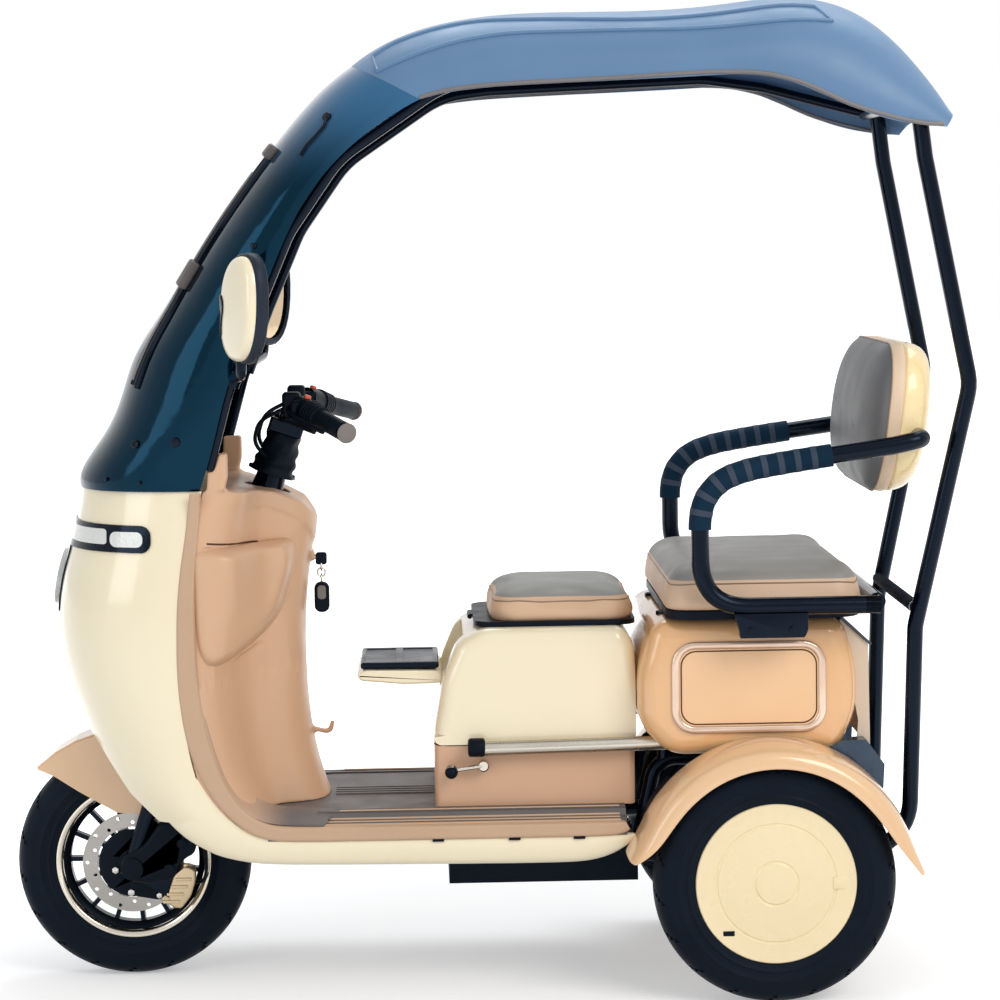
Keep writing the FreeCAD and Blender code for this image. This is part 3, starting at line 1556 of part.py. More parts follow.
def rim_profile():
    outer = [
        (rim_radius, rim_half_width), (rim_radius, flange_half), (bead_radius, bead_half), (bead_radius, bead_inner), (well_radius, well_half),
    ]
    inner = [
        (well_radius - rim_wall, well_half - rim_wall / 2), (bead_radius - rim_wall, bead_inner), (bead_radius - rim_wall, bead_half - rim_wall / 2),
        (rim_radius - rim_wall, rim_half_width),
    ]
    return outer + [(r, -y) for r, y in reversed(outer)] + [(r, -y) for r, y in reversed(inner)] + inner


def front_rim():
    centre = Vector(front_axle_x, 0, axle_z)
    pieces = [
        wheel_turned(rim_profile(), centre),
        drum(front_hub_radius, -front_hub_half, front_hub_half, front_axle_x, axle_z),
    ]
    for index in range(spoke_count):
        spoke = box(front_hub_radius - rim_wall, well_radius - rim_wall / 2, -spoke_half_width, spoke_half_width,
                    -spoke_half_thickness, spoke_half_thickness)
        spoke.rotate(Vector(0, 0, 0), Vector(0, 1, 0), index * 360 / spoke_count)
        spoke.translate(centre)
        pieces.append(spoke)
    bore = drum(axle_radius + seat_gap, -beyond, beyond, front_axle_x, axle_z)
    return joined(pieces).cut(bore)


# Brake disc: a drilled ring on five arms, bolted to the hub's left face
disc_inner_radius = 64.0
disc_radius = 90.0
disc_inner_y = 40.0
disc_wall = 4.0
carrier_radius = 42.0
carrier_bore = 14.0
carrier_wall = 5.0
disc_arm_count = 5
disc_arm_half = 9.0
disc_hole_count = 20
disc_hole_radius = 3.5
disc_hole_low_share = 0.3
disc_hole_high_share = 0.7


def brake_disc():
    centre = Vector(front_axle_x, 0, axle_z)
    arm_y0 = disc_inner_y + disc_wall / 2 - carrier_wall
    carrier_y = front_hub_half + seat_gap
    pieces = [
        wheel_turned(rectangle(disc_inner_radius, disc_radius, disc_inner_y, disc_inner_y + disc_wall), centre),
        wheel_turned(rectangle(carrier_bore, carrier_radius, carrier_y, disc_inner_y + disc_wall / 2), centre),
    ]
    for index in range(disc_arm_count):
        arm = box(carrier_radius - rim_wall, disc_inner_radius + rim_wall, arm_y0, disc_inner_y + disc_wall / 2,
                  -disc_arm_half, disc_arm_half)
        arm.rotate(Vector(0, 0, 0), Vector(0, 1, 0), index * 360 / disc_arm_count)
        arm.translate(centre)
        pieces.append(arm)
    holes = []
    for index in range(disc_hole_count):
        turn = math.radians(index * 360 / disc_hole_count)
        radius = between(disc_inner_radius, disc_radius, disc_hole_low_share if index % 2 else disc_hole_high_share)
        spot_x = front_axle_x + radius * math.cos(turn)
        spot_z = axle_z + radius * math.sin(turn)
        holes.append(drum(disc_hole_radius, disc_inner_y - overrun, disc_inner_y + overrun, spot_x, spot_z))
    return joined(pieces).cut(Part.makeCompound(holes))


# Rear wheels: steel rim closed by a dished cover with a raised centre, a square tool
# pocket and a valve notch
rear_hub_radius = 34.0
rear_hub_half = 25.0
web_half = 5.0
cover_outer_radius = 132.0
cover_step_radius = 110.0
cover_dish_radius = 103.0
cover_centre_radius = 34.0
cover_rim_y = 29.0
cover_step_y = 28.0
cover_dish_y = 22.0
cover_centre_y = 30.0
cover_wall = 3.5
tab_half = 9.0
tab_reach = 104.0
tab_angle = 18.0
valve_half = 7.0
valve_reach = 118.0
valve_angle = 213.0


def cover_profile():
    outer_face = [
        (0.0, cover_centre_y + cover_wall), (cover_centre_radius, cover_centre_y + cover_wall), (cover_centre_radius + cover_wall, cover_dish_y + cover_wall * 2),
        (cover_dish_radius, cover_dish_y + cover_wall), (cover_step_radius, cover_step_y + cover_wall), (cover_outer_radius, cover_rim_y + cover_wall),
    ]
    inner_face = [
        (cover_outer_radius, cover_rim_y), (cover_step_radius + cover_wall, cover_step_y - cover_wall / 2),
        (cover_dish_radius + cover_wall, cover_dish_y), (cover_centre_radius + cover_wall, cover_dish_y), (0.0, cover_dish_y),
    ]
    return outer_face + inner_face


def on_wheel(block, angle, side):
    """Turn a block drawn ahead of the axle to its angle and carry it to a rear wheel."""
    block.rotate(Vector(0, 0, 0), Vector(0, 1, 0), -angle)
    if side < 0:
        block = mirrored(block)
    block.translate(Vector(rear_axle_x, side * rear_wheel_y, axle_z))
    return block


def rear_rim(side):
    centre = Vector(rear_axle_x, side * rear_wheel_y, axle_z)
    middle = side * rear_wheel_y
    cover = wheel_turned(cover_profile(), Vector(0, 0, 0))
    tab_y = cover_step_y + cover_wall
    tab = box(tab_reach - tab_half * 2, tab_reach, cover_dish_y, tab_y, -tab_half, tab_half)
    notch = box(valve_reach - valve_half, valve_reach + valve_half, cover_dish_y - cover_wall, beyond, -valve_half, valve_half)
    pieces = [
        wheel_turned(rim_profile(), centre),
        drum(rear_hub_radius, middle - rear_hub_half, middle + rear_hub_half, rear_axle_x, axle_z),
        wheel_turned(rectangle(rear_hub_radius - rim_wall, well_radius - rim_wall / 2, -web_half, web_half), centre),
        on_wheel(cover, 0.0, side),
        on_wheel(tab, tab_angle, side),
    ]
    wheel = joined(pieces).cut(on_wheel(notch, valve_angle, side))
    low, high = sorted((side * (rear_wheel_y - beyond), side * (rear_wheel_y + spindle_reach + seat_gap)))
    return wheel.cut(drum(spindle_radius + seat_gap, low, high, rear_axle_x, axle_z))


# Fork: two legs, a bridge, the stem and the front axle
leg_y = 68.0
leg_radius = 15.0
leg_top = 300.0
leg_foot = -20.0
slider_radius = 17.0
slider_top = 120.0
axle_reach = 85.0
axle_boss_radius = 17.0
axle_boss_inner_y = 42.6
axle_boss_outer_y = 88.0
bridge_length = 66.0
bridge_height = 22.0
bridge_half_width = 86.0
bridge_rear = 44.0
bridge_up = 290.0
stem_top = 790.0
caliper_angle = 212.0
lug_reach = 96.0
lug_inner_y = 53.0
lug_wall = 7.0
lug_half = 20.0


def at_caliper(shape):
    shape.rotate(Vector(0, 0, 0), Vector(0, 1, 0), -caliper_angle)
    shape.translate(Vector(front_axle_x, 0, axle_z))
    return shape


def fork():
    pieces = [
        drum(axle_radius, -axle_reach, axle_reach, front_axle_x, axle_z),
        steer_line(bridge_up, stem_top, stem_radius, -fork_offset),
        at_caliper(box(0.0, lug_reach, lug_inner_y, lug_inner_y + lug_wall, -lug_half, lug_half)),
    ]
    bridge = box(-bridge_rear, bridge_length - bridge_rear, -bridge_half_width, bridge_half_width, 0.0, bridge_height)
    pieces.append(square_to_steering(bridge, bridge_up))
    for side in (1, -1):
        pieces.append(steer_line(leg_foot, leg_top, leg_radius, 0.0, side * leg_y))
        low, high = sorted((side * axle_boss_inner_y, side * axle_boss_outer_y))
        pieces.append(drum(axle_boss_radius, low, high, front_axle_x, axle_z))
    return joined(pieces)


# Brake caliper over the disc, and its hose up the left fork leg
caliper_inner_radius = 66.0
caliper_length = 44.0
caliper_half_height = 33.0
caliper_inner_y = 29.0
caliper_slot_gap = 2.4
caliper_slot_floor = 36.6
piston_radius = 15.0
piston_spread = 16.0
caliper_fillet = 5.0
caliper_back_wall = 8.0
hose_radius = 3.0
hose_bend = 26.0
hose_clear = 5.0
hose_across = 20.0
hose_end_in = 9.0
hose_out = 26.0
# places on the way down from the bridge: behind the axle, above it
hose_route = [(126.0, 60.0), (132.0, -8.0)]


def brake_caliper():
    outer_y = lug_inner_y - seat_gap
    body = box(caliper_inner_radius, caliper_inner_radius + caliper_length, caliper_inner_y, outer_y,
               -caliper_half_height, caliper_half_height)
    body = body.makeFillet(caliper_fillet, body.Edges)
    middle = caliper_inner_radius + caliper_length / 2
    pistons = [
        drum(piston_radius, outer_y - caliper_back_wall, outer_y, middle - rim_wall, side * piston_spread) for side in (1, -1)
    ]
    slot_outer = disc_inner_y + disc_wall + caliper_slot_gap
    slot = box(caliper_inner_radius - overrun, caliper_inner_radius + caliper_length - caliper_back_wall - rim_wall / 2,
               caliper_slot_floor, slot_outer, -overrun, overrun)
    return at_caliper(joined([body] + pistons).cut(slot))


def brake_hose():
    turn = math.radians(caliper_angle)
    along = Vector(math.cos(turn), 0, math.sin(turn))
    back = Vector(along.z, 0, -along.x)
    face = Vector(front_axle_x, lug_inner_y - hose_end_in, axle_z) + back * hose_across
    end = face + along * (caliper_inner_radius + caliper_length + seat_gap)
    top = steer_point(bridge_up - hose_radius / 2, -leg_radius - hose_radius - hose_clear, leg_y)
    route = [tuple(top)]
    route += [(front_axle_x - behind, leg_y, axle_z + above) for behind, above in hose_route]
    return rod(route + [tuple(end + along * hose_out), tuple(end)], hose_radius, hose_bend)


# Handlebar: riser with its boot, bent bar, rubber grips, switch housings and levers
boot_radius = 30.0
boot_low = 700.0
boot_top = 752.0
riser_radius = 22.0
clamp_low = 770.0
clamp_top = 836.0
bar_radius = 11.0
bar_bend = 35.0
bar_end_x = 240.0
bar_end_y = 290.0
bar_end_z = 992.0
bar_knee_x = 332.0
bar_knee_y = 104.0
bar_knee_z = 1030.0
bar_centre_x = 348.0
bar_centre_y = 50.0
bar_centre_z = 1004.0
grip_radius = 16.5
grip_flange_radius = 20.0
grip_flange = 6.0
grip_start = 0.45
grip_end = 1.02
switch_radius = 21.0
switch_start = 0.16
switch_end = 0.42
lever_blade_radius = 4.5
lever_bend = 18.0
dash_unit_half_width = 46.0
dash_unit_length = 62.0
dash_unit_height = 26.0
dash_unit_up = 812.0


def bar_line(side):
    return [
        (bar_end_x, side * bar_end_y, bar_end_z), (bar_knee_x, side * bar_knee_y, bar_knee_z),
        (bar_centre_x, side * bar_centre_y, bar_centre_z),
    ]


def bar_axis(share):
    """Point on the left hand's straight run, from the knee at 0 to the end at 1."""
    return Vector(between(bar_knee_x, bar_end_x, share), between(bar_knee_y, bar_end_y, share), between(bar_knee_z, bar_end_z, share))


def handlebar():
    clamp = steer_line(clamp_low, clamp_top, riser_radius, -fork_offset)
    riser = Part.makeCone(boot_radius, riser_radius, clamp_low - boot_low)
    riser = square_to_steering(riser, boot_low, -fork_offset)
    bar = rod(bar_line(1) + list(reversed(bar_line(-1))), bar_radius, bar_bend)
    unit = box(-dash_unit_length / 2, dash_unit_length / 2, -dash_unit_half_width, dash_unit_half_width, 0.0, dash_unit_height)
    unit = square_to_steering(unit.makeFillet(caliper_fillet, unit.Edges), dash_unit_up, -fork_offset)
    whole = joined([clamp, riser, bar, unit])
    return whole.cut(steer_line(boot_low - overrun, stem_top + seat_gap, stem_radius + close_fit, -fork_offset))


def grips():
    flange_share = grip_start + grip_flange / (bar_axis(1) - bar_axis(0)).Length
    grip = cylinder_between(bar_axis(grip_start), bar_axis(grip_end), grip_radius)
    flange = cylinder_between(bar_axis(grip_start), bar_axis(flange_share), grip_flange_radius)
    grip = joined([grip, flange]).cut(cylinder_between(bar_axis(0), bar_axis(1) + (bar_axis(1) - bar_axis(0)).normalize() * seat_gap,
                                                        bar_radius + close_fit))
    return both_sides(grip)


def bar_controls():
    body = cylinder_between(bar_axis(switch_start), bar_axis(switch_end), switch_radius)
    root = bar_axis(between(switch_start, switch_end, 0.5)) + Vector(switch_radius - lever_blade_radius, 0, -lever_blade_radius)
    knee = bar_axis(between(switch_start, switch_end, 0.8)) + Vector(lever_reach - lever_ball_radius, lever_blade_radius * 2, -switch_radius / 2)
    tip = bar_axis(between(grip_start, grip_end, 0.6)) + Vector(switch_radius * 1.5, 0, -switch_radius / 2)
    lever = rod([tuple(root), tuple(knee), tuple(tip)], lever_blade_radius, lever_bend)
    body = joined([body, lever]).cut(cylinder_between(bar_axis(0), bar_axis(1), bar_radius + close_fit))
    return both_sides(body)


# Front mudguard: turns with the fork, its skirts rounded at the shoulder
mudguard_radius = 242.0
mudguard_half_width = 50.0
mudguard_wall = 3.0
mudguard_front_angle = 46.0
mudguard_rear_angle = 126.0
mudguard_steps = 8
mudguard_boss_radius = 9.0
mudguard_boss_up = 170.0
skirt_rear_x = 498.0
skirt_front_x = 772.0
skirt_bottom = 297.0
skirt_top = 398.0
skirt_shares = [(0.0, 1.0), (0.18, 0.33), (0.37, 0.0), (0.60, 0.03), (0.85, 0.43), (1.0, 0.70)]


def mudguard_block(radius, half_width):
    outline = []
    for index in range(mudguard_steps + 1):
        turn = math.radians(between(mudguard_front_angle, mudguard_rear_angle, index / mudguard_steps))
        outline.append((front_axle_x + radius * math.cos(turn), axle_z + radius * math.sin(turn)))
    outline += placed(skirt_rear_x, skirt_front_x, skirt_bottom, skirt_top, skirt_shares)
    return side_plate(outline, -half_width, half_width)


def front_mudguard():
    inside = mudguard_half_width - mudguard_wall
    outer = mudguard_block(mudguard_radius, inside - mudguard_wall)
    outer = joined([outer, mudguard_block(mudguard_radius - mudguard_wall, mudguard_half_width)])
    shell = outer.cut(drum(mudguard_radius - 2 * mudguard_wall, -inside, inside, front_axle_x, axle_z))
    pieces = [shell]
    for side in (1, -1):
        spot = steer_point(mudguard_boss_up, 0.0, side * inside)
        leg_face = side * (leg_y - leg_radius - seat_gap)
        pieces.append(cylinder_between(spot, Vector(spot.x, leg_face, spot.z), mudguard_boss_radius))
    return joined(pieces)


def write_parts():
    front_centre = Vector(front_axle_x, 0, axle_z)
    nodes = {
        "front_fairing": front_fairing(),
        "lamp_surround": lamp_surround(),
        "front_lenses": front_lenses(),
        "inner_shield": inner_shield(),
        "side_sills": side_sills(),
        "floor_board": floor_board(),
        "main_frame": main_frame(),
        "battery_box": battery_box(),
        "seat_box_upper": seat_box_upper(),
        "seat_box_lower": seat_box_lower(),
        "saddle_pan": saddle_pan(),
        "saddle_cushion": saddle_cushion(),
        "child_seat_deck": child_seat_deck(),
        "child_seat_pad": child_seat_pad(),
        "rear_housing": rear_housing(),
        "side_plates": side_plates(),
        "rear_trunk": rear_trunk(),
        "tail_cap": tail_cap(),
        "tail_lamps": tail_lamps(),
        "bench_pan": bench_pan(),
        "bench_cushion": bench_cushion(),
        "arm_tubes": arm_tubes(),
        "arm_grips": arm_grips(),
        "backrest_cushion": backrest_cushion(),
        "backrest_shell": backrest_shell(),
        "windscreen": windscreen(),
        "screen_wiper": screen_wiper(),
        "canopy_roof": canopy_roof(),
        "canopy_frame": canopy_frame(),
        "mirror_covers": mirror_covers(),
        "mirror_glasses": mirror_glasses(),
        "mirror_stems": mirror_stems(),
        "rear_fenders": rear_fenders(),
        "inner_fenders": inner_fenders(),
        "guard_bars": guard_bars(),
        "parking_lever": parking_lever(),
        "key_fob": key_fob(),
        "rear_axle": rear_axle(),
        "shock_absorbers": shock_absorbers(),
        "front_tyre": tyre(front_centre),
        "front_rim": front_rim(),
        "brake_disc": brake_disc(),
        "rear_left_tyre": tyre(Vector(rear_axle_x, rear_wheel_y, axle_z)),
        "rear_left_rim": rear_rim(1),
        "rear_right_tyre": tyre(Vector(rear_axle_x, -rear_wheel_y, axle_z)),
        "rear_right_rim": rear_rim(-1),
        "fork": fork(),
        "handlebar": handlebar(),
        "grips": grips(),
        "bar_controls": bar_controls(),
        "front_mudguard": front_mudguard(),
        "brake_caliper": brake_caliper(),
        "brake_hose": brake_hose(),
    }
    os.makedirs("parts", exist_ok=True)
    for name, shape in nodes.items():
        shape.exportStep("parts/" + name + ".step")


write_parts()
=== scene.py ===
import math

import bpy
from mathutils import Matrix, Vector


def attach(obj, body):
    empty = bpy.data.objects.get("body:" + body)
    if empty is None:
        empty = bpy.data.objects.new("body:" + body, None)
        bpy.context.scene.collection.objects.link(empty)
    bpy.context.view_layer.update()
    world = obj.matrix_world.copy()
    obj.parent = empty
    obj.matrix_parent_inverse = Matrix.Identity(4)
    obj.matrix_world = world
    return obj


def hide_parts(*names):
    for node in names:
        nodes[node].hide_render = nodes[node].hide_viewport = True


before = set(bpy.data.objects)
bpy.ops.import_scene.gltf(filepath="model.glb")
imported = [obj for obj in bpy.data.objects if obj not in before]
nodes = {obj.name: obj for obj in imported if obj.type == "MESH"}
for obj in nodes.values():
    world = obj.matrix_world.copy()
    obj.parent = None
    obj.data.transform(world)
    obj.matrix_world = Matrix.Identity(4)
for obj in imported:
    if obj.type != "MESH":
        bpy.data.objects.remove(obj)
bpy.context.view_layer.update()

# The view
# The tricycle is seen from its own left side, from just ahead of the driver's
# saddle and a little above the mirrors, through a long lens.

camera_data = bpy.data.cameras.new("camera")
camera_data.sensor_width = 36
camera_data.lens = 108.97
camera = bpy.data.objects.new("camera", camera_data)
bpy.context.scene.collection.objects.link(camera)
camera.matrix_world = (
    Matrix.Translation((0.118, 5.396, 1.345))
    @ Matrix.Rotation(math.radians(178.42), 4, "Z")
    @ Matrix.Rotation(math.radians(84.70), 4, "X")
    @ Matrix.Rotation(math.radians(-0.83), 4, "Z")
)
bpy.context.scene.camera = camera
bpy.context.scene.view_settings.view_transform = "Standard"

# The studio
# A pale floor under soft daylight: a wide window high on the right, a weaker one
# on the left, a skylight behind, and an even white room round them.


def ink(red, green, blue):
    """A colour given as it shows on a screen, as the linear colour a shader takes."""
    shares = (red / 255, green / 255, blue / 255)
    return tuple(s / 12.92 if s < 0.04 else ((s + 0.055) / 1.055) ** 2.4 for s in shares) + (1,)


def deselect_all():
    for thing in bpy.context.selected_objects:
        thing.select_set(False)


def seen_directly(tree):
    """1 where the eye, a mirror or clear glass looks straight at a surface, else 0."""
    path = tree.nodes.new("ShaderNodeLightPath")
    first = tree.nodes.new("ShaderNodeMath")
    first.operation = "MAXIMUM"
    tree.links.new(path.outputs["Is Camera Ray"], first.inputs[0])
    tree.links.new(path.outputs["Is Glossy Ray"], first.inputs[1])
    second = tree.nodes.new("ShaderNodeMath")
    second.operation = "MAXIMUM"
    tree.links.new(first.outputs[0], second.inputs[0])
    tree.links.new(path.outputs["Is Transmission Ray"], second.inputs[1])
    return second.outputs[0]


room = bpy.data.worlds.new("room")
bpy.context.scene.world = room
room.use_nodes = True
room.node_tree.nodes.clear()
walls = room.node_tree.nodes.new("ShaderNodeBackground")
walls.inputs["Color"].default_value = (1, 1, 1, 1)
walls.inputs["Strength"].default_value = 1
daylight = room.node_tree.nodes.new("ShaderNodeBackground")
daylight.inputs["Color"].default_value = (0.96, 0.98, 1, 1)
daylight.inputs["Strength"].default_value = 0.56
room_mix = room.node_tree.nodes.new("ShaderNodeMixShader")
room_out = room.node_tree.nodes.new("ShaderNodeOutputWorld")
room.node_tree.links.new(seen_directly(room.node_tree), room_mix.inputs["Fac"])
room.node_tree.links.new(daylight.outputs[0], room_mix.inputs[1])
room.node_tree.links.new(walls.outputs[0], room_mix.inputs[2])
room.node_tree.links.new(room_mix.outputs[0], room_out.inputs["Surface"])

floor_paint = bpy.data.materials.new("floor")
floor_paint.use_nodes = True
floor_tree = floor_paint.node_tree
floor_tree.nodes.clear()
matt = floor_tree.nodes.new("ShaderNodeBsdfDiffuse")
matt.inputs["Color"].default_value = (0.84, 0.84, 0.85, 1)
glow = floor_tree.nodes.new("ShaderNodeEmission")
glow.inputs["Color"].default_value = (1, 1, 1, 1)
floor_sum = floor_tree.nodes.new("ShaderNodeAddShader")
floor_out = floor_tree.nodes.new("ShaderNodeOutputMaterial")
floor_place = floor_tree.nodes.new("ShaderNodeTexCoord")
floor_away = floor_tree.nodes.new("ShaderNodeVectorMath")
floor_away.operation = "LENGTH"
floor_tree.links.new(floor_place.outputs["Object"], floor_away.inputs[0])
fade = floor_tree.nodes.new("ShaderNodeMapRange")
fade.interpolation_type = "SMOOTHSTEP"
fade.inputs["From Min"].default_value = 0.8
fade.inputs["From Max"].default_value = 1.7
fade.inputs["To Min"].default_value = 0.36
fade.inputs["To Max"].default_value = 1.0
floor_tree.links.new(floor_away.outputs["Value"], fade.inputs["Value"])
lift = floor_tree.nodes.new("ShaderNodeMath")
lift.operation = "MULTIPLY"
floor_tree.links.new(fade.outputs["Result"], lift.inputs[1])
floor_tree.links.new(seen_directly(floor_tree), lift.inputs[0])
floor_tree.links.new(lift.outputs[0], glow.inputs["Strength"])
floor_tree.links.new(matt.outputs[0], floor_sum.inputs[0])
floor_tree.links.new(glow.outputs[0], floor_sum.inputs[1])
floor_tree.links.new(floor_sum.outputs[0], floor_out.inputs["Surface"])

deselect_all()
bpy.ops.mesh.primitive_plane_add(size=60, location=(0, 0, -0.0005))
floor = bpy.context.object
floor.name = "floor"
floor.data.materials.append(floor_paint)


def lamp(name, place, aim, size, watts, colour):
    light = bpy.data.lights.new(name, "AREA")
    light.shape = "RECTANGLE"
    light.size, light.size_y = size
    light.energy = watts
    light.color = colour
    stand = bpy.data.objects.new(name, light)
    bpy.context.scene.collection.objects.link(stand)
    stand.location = place
    stand.rotation_euler = (Vector(aim) - Vector(place)).to_track_quat("-Z", "Y").to_euler()


lamp("window_right", (-2.6, 3.4, 3.4), (0, 0, 0.7), (2.6, 2.2), 106, (1, 0.96, 0.89))
lamp("window_left", (3.4, 3.0, 1.9), (0, 0, 0.6), (1.8, 2.2), 32, (0.93, 0.96, 1))
lamp("skylight", (-0.6, -1.2, 3.6), (0, 0, 0.6), (3.0, 1.6), 46, (0.95, 0.98, 1))

# Frame and running gear
# Rails, hoops and posts are bent steel tube under black stove enamel; the axle
# and its dampers are painted a duller black. Each finish in this file mixes a
# base colour, a patchier second one, smears in the polish and a fine grain.


def surface(name, colour, patch, rough, grain, coat=0.0, metal=0.0, gloss=0.5, patch_size=5.0,
            shine=(1, 1, 1)):
    """A finish whose colour wanders to a patchier one, with smears in its polish and a fine grain.

    rough is (lowest, highest) roughness, grain is (lumps per metre, height in metres)
    and shine is the tint of what it reflects."""
    finish = bpy.data.materials.new(name)
    finish.use_nodes = True
    tree = finish.node_tree
    shader = tree.nodes["Principled BSDF"]
    shader.inputs["Metallic"].default_value = metal
    shader.inputs["Specular IOR Level"].default_value = gloss
    shader.inputs["Specular Tint"].default_value = (*shine, 1)
    shader.inputs["Coat Weight"].default_value = coat
    shader.inputs["Coat Roughness"].default_value = 0.06
    place = tree.nodes.new("ShaderNodeTexCoord")
    cloud = tree.nodes.new("ShaderNodeTexNoise")
    cloud.inputs["Scale"].default_value = patch_size
    cloud.inputs["Detail"].default_value = 4
    tree.links.new(place.outputs["Object"], cloud.inputs["Vector"])
    tint = tree.nodes.new("ShaderNodeMix")
    tint.data_type = "RGBA"
    tint.name = "tint"
    tint.inputs["A"].default_value = ink(*colour)
    tint.inputs["B"].default_value = ink(*patch)
    tree.links.new(cloud.outputs["Fac"], tint.inputs["Factor"])
    tree.links.new(tint.outputs["Result"], shader.inputs["Base Color"])
    smears = tree.nodes.new("ShaderNodeTexNoise")
    smears.inputs["Scale"].default_value = 3.1 * patch_size
    smears.inputs["Detail"].default_value = 6
    tree.links.new(place.outputs["Object"], smears.inputs["Vector"])
    polish = tree.nodes.new("ShaderNodeMapRange")
    polish.inputs["From Min"].default_value = 0.3
    polish.inputs["From Max"].default_value = 0.7
    polish.inputs["To Min"].default_value = rough[0]
    polish.inputs["To Max"].default_value = rough[1]
    tree.links.new(smears.outputs["Fac"], polish.inputs["Value"])
    tree.links.new(polish.outputs["Result"], shader.inputs["Roughness"])
    lumps = tree.nodes.new("ShaderNodeTexNoise")
    lumps.inputs["Scale"].default_value = grain[0]
    lumps.inputs["Detail"].default_value = 2
    tree.links.new(place.outputs["Object"], lumps.inputs["Vector"])
    bump = tree.nodes.new("ShaderNodeBump")
    bump.inputs["Strength"].default_value = 1
    bump.inputs["Distance"].default_value = grain[1]
    tree.links.new(lumps.outputs["Fac"], bump.inputs["Height"])
    tree.links.new(bump.outputs["Normal"], shader.inputs["Normal"])
    return finish


def dress(finish, *names):
    """Gives CAD nodes a finish."""
    for name in names:
        for place in nodes[name].material_slots:
            place.material = finish


def keep(piece, name, body, finish, stands_for=()):
    """Names a finished piece, coats it and fixes it to a body, in place of the nodes it stands for."""
    piece.name = name
    piece.data.name = name
    piece.data.materials.clear()
    piece.data.materials.append(finish)
    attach(piece, body)
    if stands_for:
        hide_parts(*stands_for)
    return piece


def take_up(piece):
    """Makes a piece the one that the next operator works on."""
    deselect_all()
    piece.select_set(True)
    bpy.context.view_layer.objects.active = piece
    return piece


def smooth(piece, angle=38):
    take_up(piece)
    bpy.ops.object.shade_smooth_by_angle(angle=math.radians(angle))
    return piece


def face_outwards(piece, merge=0.00002):
    take_up(piece)
    bpy.ops.object.mode_set(mode="EDIT")
    bpy.ops.mesh.select_all(action="SELECT")
    bpy.ops.mesh.remove_doubles(threshold=merge)
    bpy.ops.mesh.normals_make_consistent(inside=False)
    bpy.ops.object.mode_set(mode="OBJECT")
    return piece


def tube(route, radius, sides=5, ring=False):
    """A round bar along a route."""
    line = bpy.data.curves.new("tube", "CURVE")
    line.dimensions = "3D"
    line.bevel_depth = radius
    line.bevel_resolution = sides
    line.use_fill_caps = not ring
    run = line.splines.new("POLY")
    run.points.add(len(route) - 1)
    for point, place in zip(run.points, route):
        point.co = (*place, 1)
    run.use_cyclic_u = ring
    piece = bpy.data.objects.new("tube", line)
    bpy.context.scene.collection.objects.link(piece)
    take_up(piece)
    bpy.ops.object.convert(target="MESH")
    return smooth(face_outwards(bpy.context.object), 50)


# black paint and rubber reflect a bluish part of what is round them
night = (0.3, 0.42, 0.62)
enamel = surface("enamel", (3, 7, 16), (8, 13, 24), (0.12, 0.22), (160, 0.0002), gloss=0.3, shine=night)
dress(enamel, "main_frame", "arm_tubes", "canopy_frame", "mirror_stems", "handlebar", "fork")
axle_black = surface("axle_black", (8, 11, 18), (18, 20, 26), (0.4, 0.56), (300, 0.0003), gloss=0.2,
                     shine=night)
dress(axle_black, "rear_axle", "shock_absorbers")

sleeve_black = surface("sleeve_black", (10, 16, 28), (16, 24, 38), (0.7, 0.85), (400, 0.0002), gloss=0.05,
                       shine=night)
post_bar = [(-0.742, -0.199, 0.666), (-0.742, 0.199, 0.666)]
keep(tube(post_bar, 0.0112, 5), "post_bar_sleeve", "chassis", sleeve_black)

# Tyres
# Three moulded rubber tyres: a plain middle rib, slanted grooves cut from it
# to the shoulders, and raised rings on the side walls.

tyre_middles = {
    "front_tyre": ("front_wheel", Vector((0.636, 0, 0.209))),
    "rear_left_tyre": ("rear_left_wheel", Vector((-0.484, 0.297, 0.209))),
    "rear_right_tyre": ("rear_right_wheel", Vector((-0.484, -0.297, 0.209))),
}
# half a section of a tyre, as radius and distance from its middle
tyre_half = [
    (0.1384, 0.030), (0.1392, 0.034), (0.143, 0.0355), (0.150, 0.0372), (0.1515, 0.0386), (0.154, 0.0374),
    (0.166, 0.0388), (0.1675, 0.0398), (0.170, 0.0389), (0.183, 0.0385), (0.192, 0.0366), (0.199, 0.0325),
    (0.2040, 0.0262), (0.2068, 0.0190), (0.2082, 0.0115), (0.2088, 0.0045),
]
tread_turns = 180
groove_from, groove_to, groove_foot = 0.006, 0.0362, 0.19
groove_slant = 0.0062
groove_depth = 0.0022


def stand(mesh_places, faces):
    """A new mesh piece from places and faces."""
    mesh = bpy.data.meshes.new("piece")
    mesh.from_pydata(mesh_places, [], faces)
    piece = bpy.data.objects.new("piece", mesh)
    bpy.context.scene.collection.objects.link(piece)
    return take_up(piece)


def skin(rows, round_rows=False, capped=False):
    """A skin over rows of places, as many places in each; round_rows joins each row's end to its start."""
    count = len(rows[0])
    faces = []
    for r in range(len(rows) - 1):
        for c in range(count if round_rows else count - 1):
            a, b = r * count + c, r * count + (c + 1) % count
            faces.append((a, b, b + count, a + count))
    if capped:
        faces.append(tuple(range(count)))
        faces.append(tuple(range((len(rows) - 1) * count, len(rows) * count)))
    return face_outwards(stand([p for row in rows for p in row], faces))


def turned(profile, middle, turns, shut=True):
    """A profile of (radius, across) places spun about a wheel's axle."""
    rows = []
    for turn in range(turns + 1):
        angle = 2 * math.pi * turn / turns
        rows.append([middle + Vector((r * math.cos(angle), y, r * math.sin(angle))) for r, y in profile])
    return skin(rows, round_rows=shut)


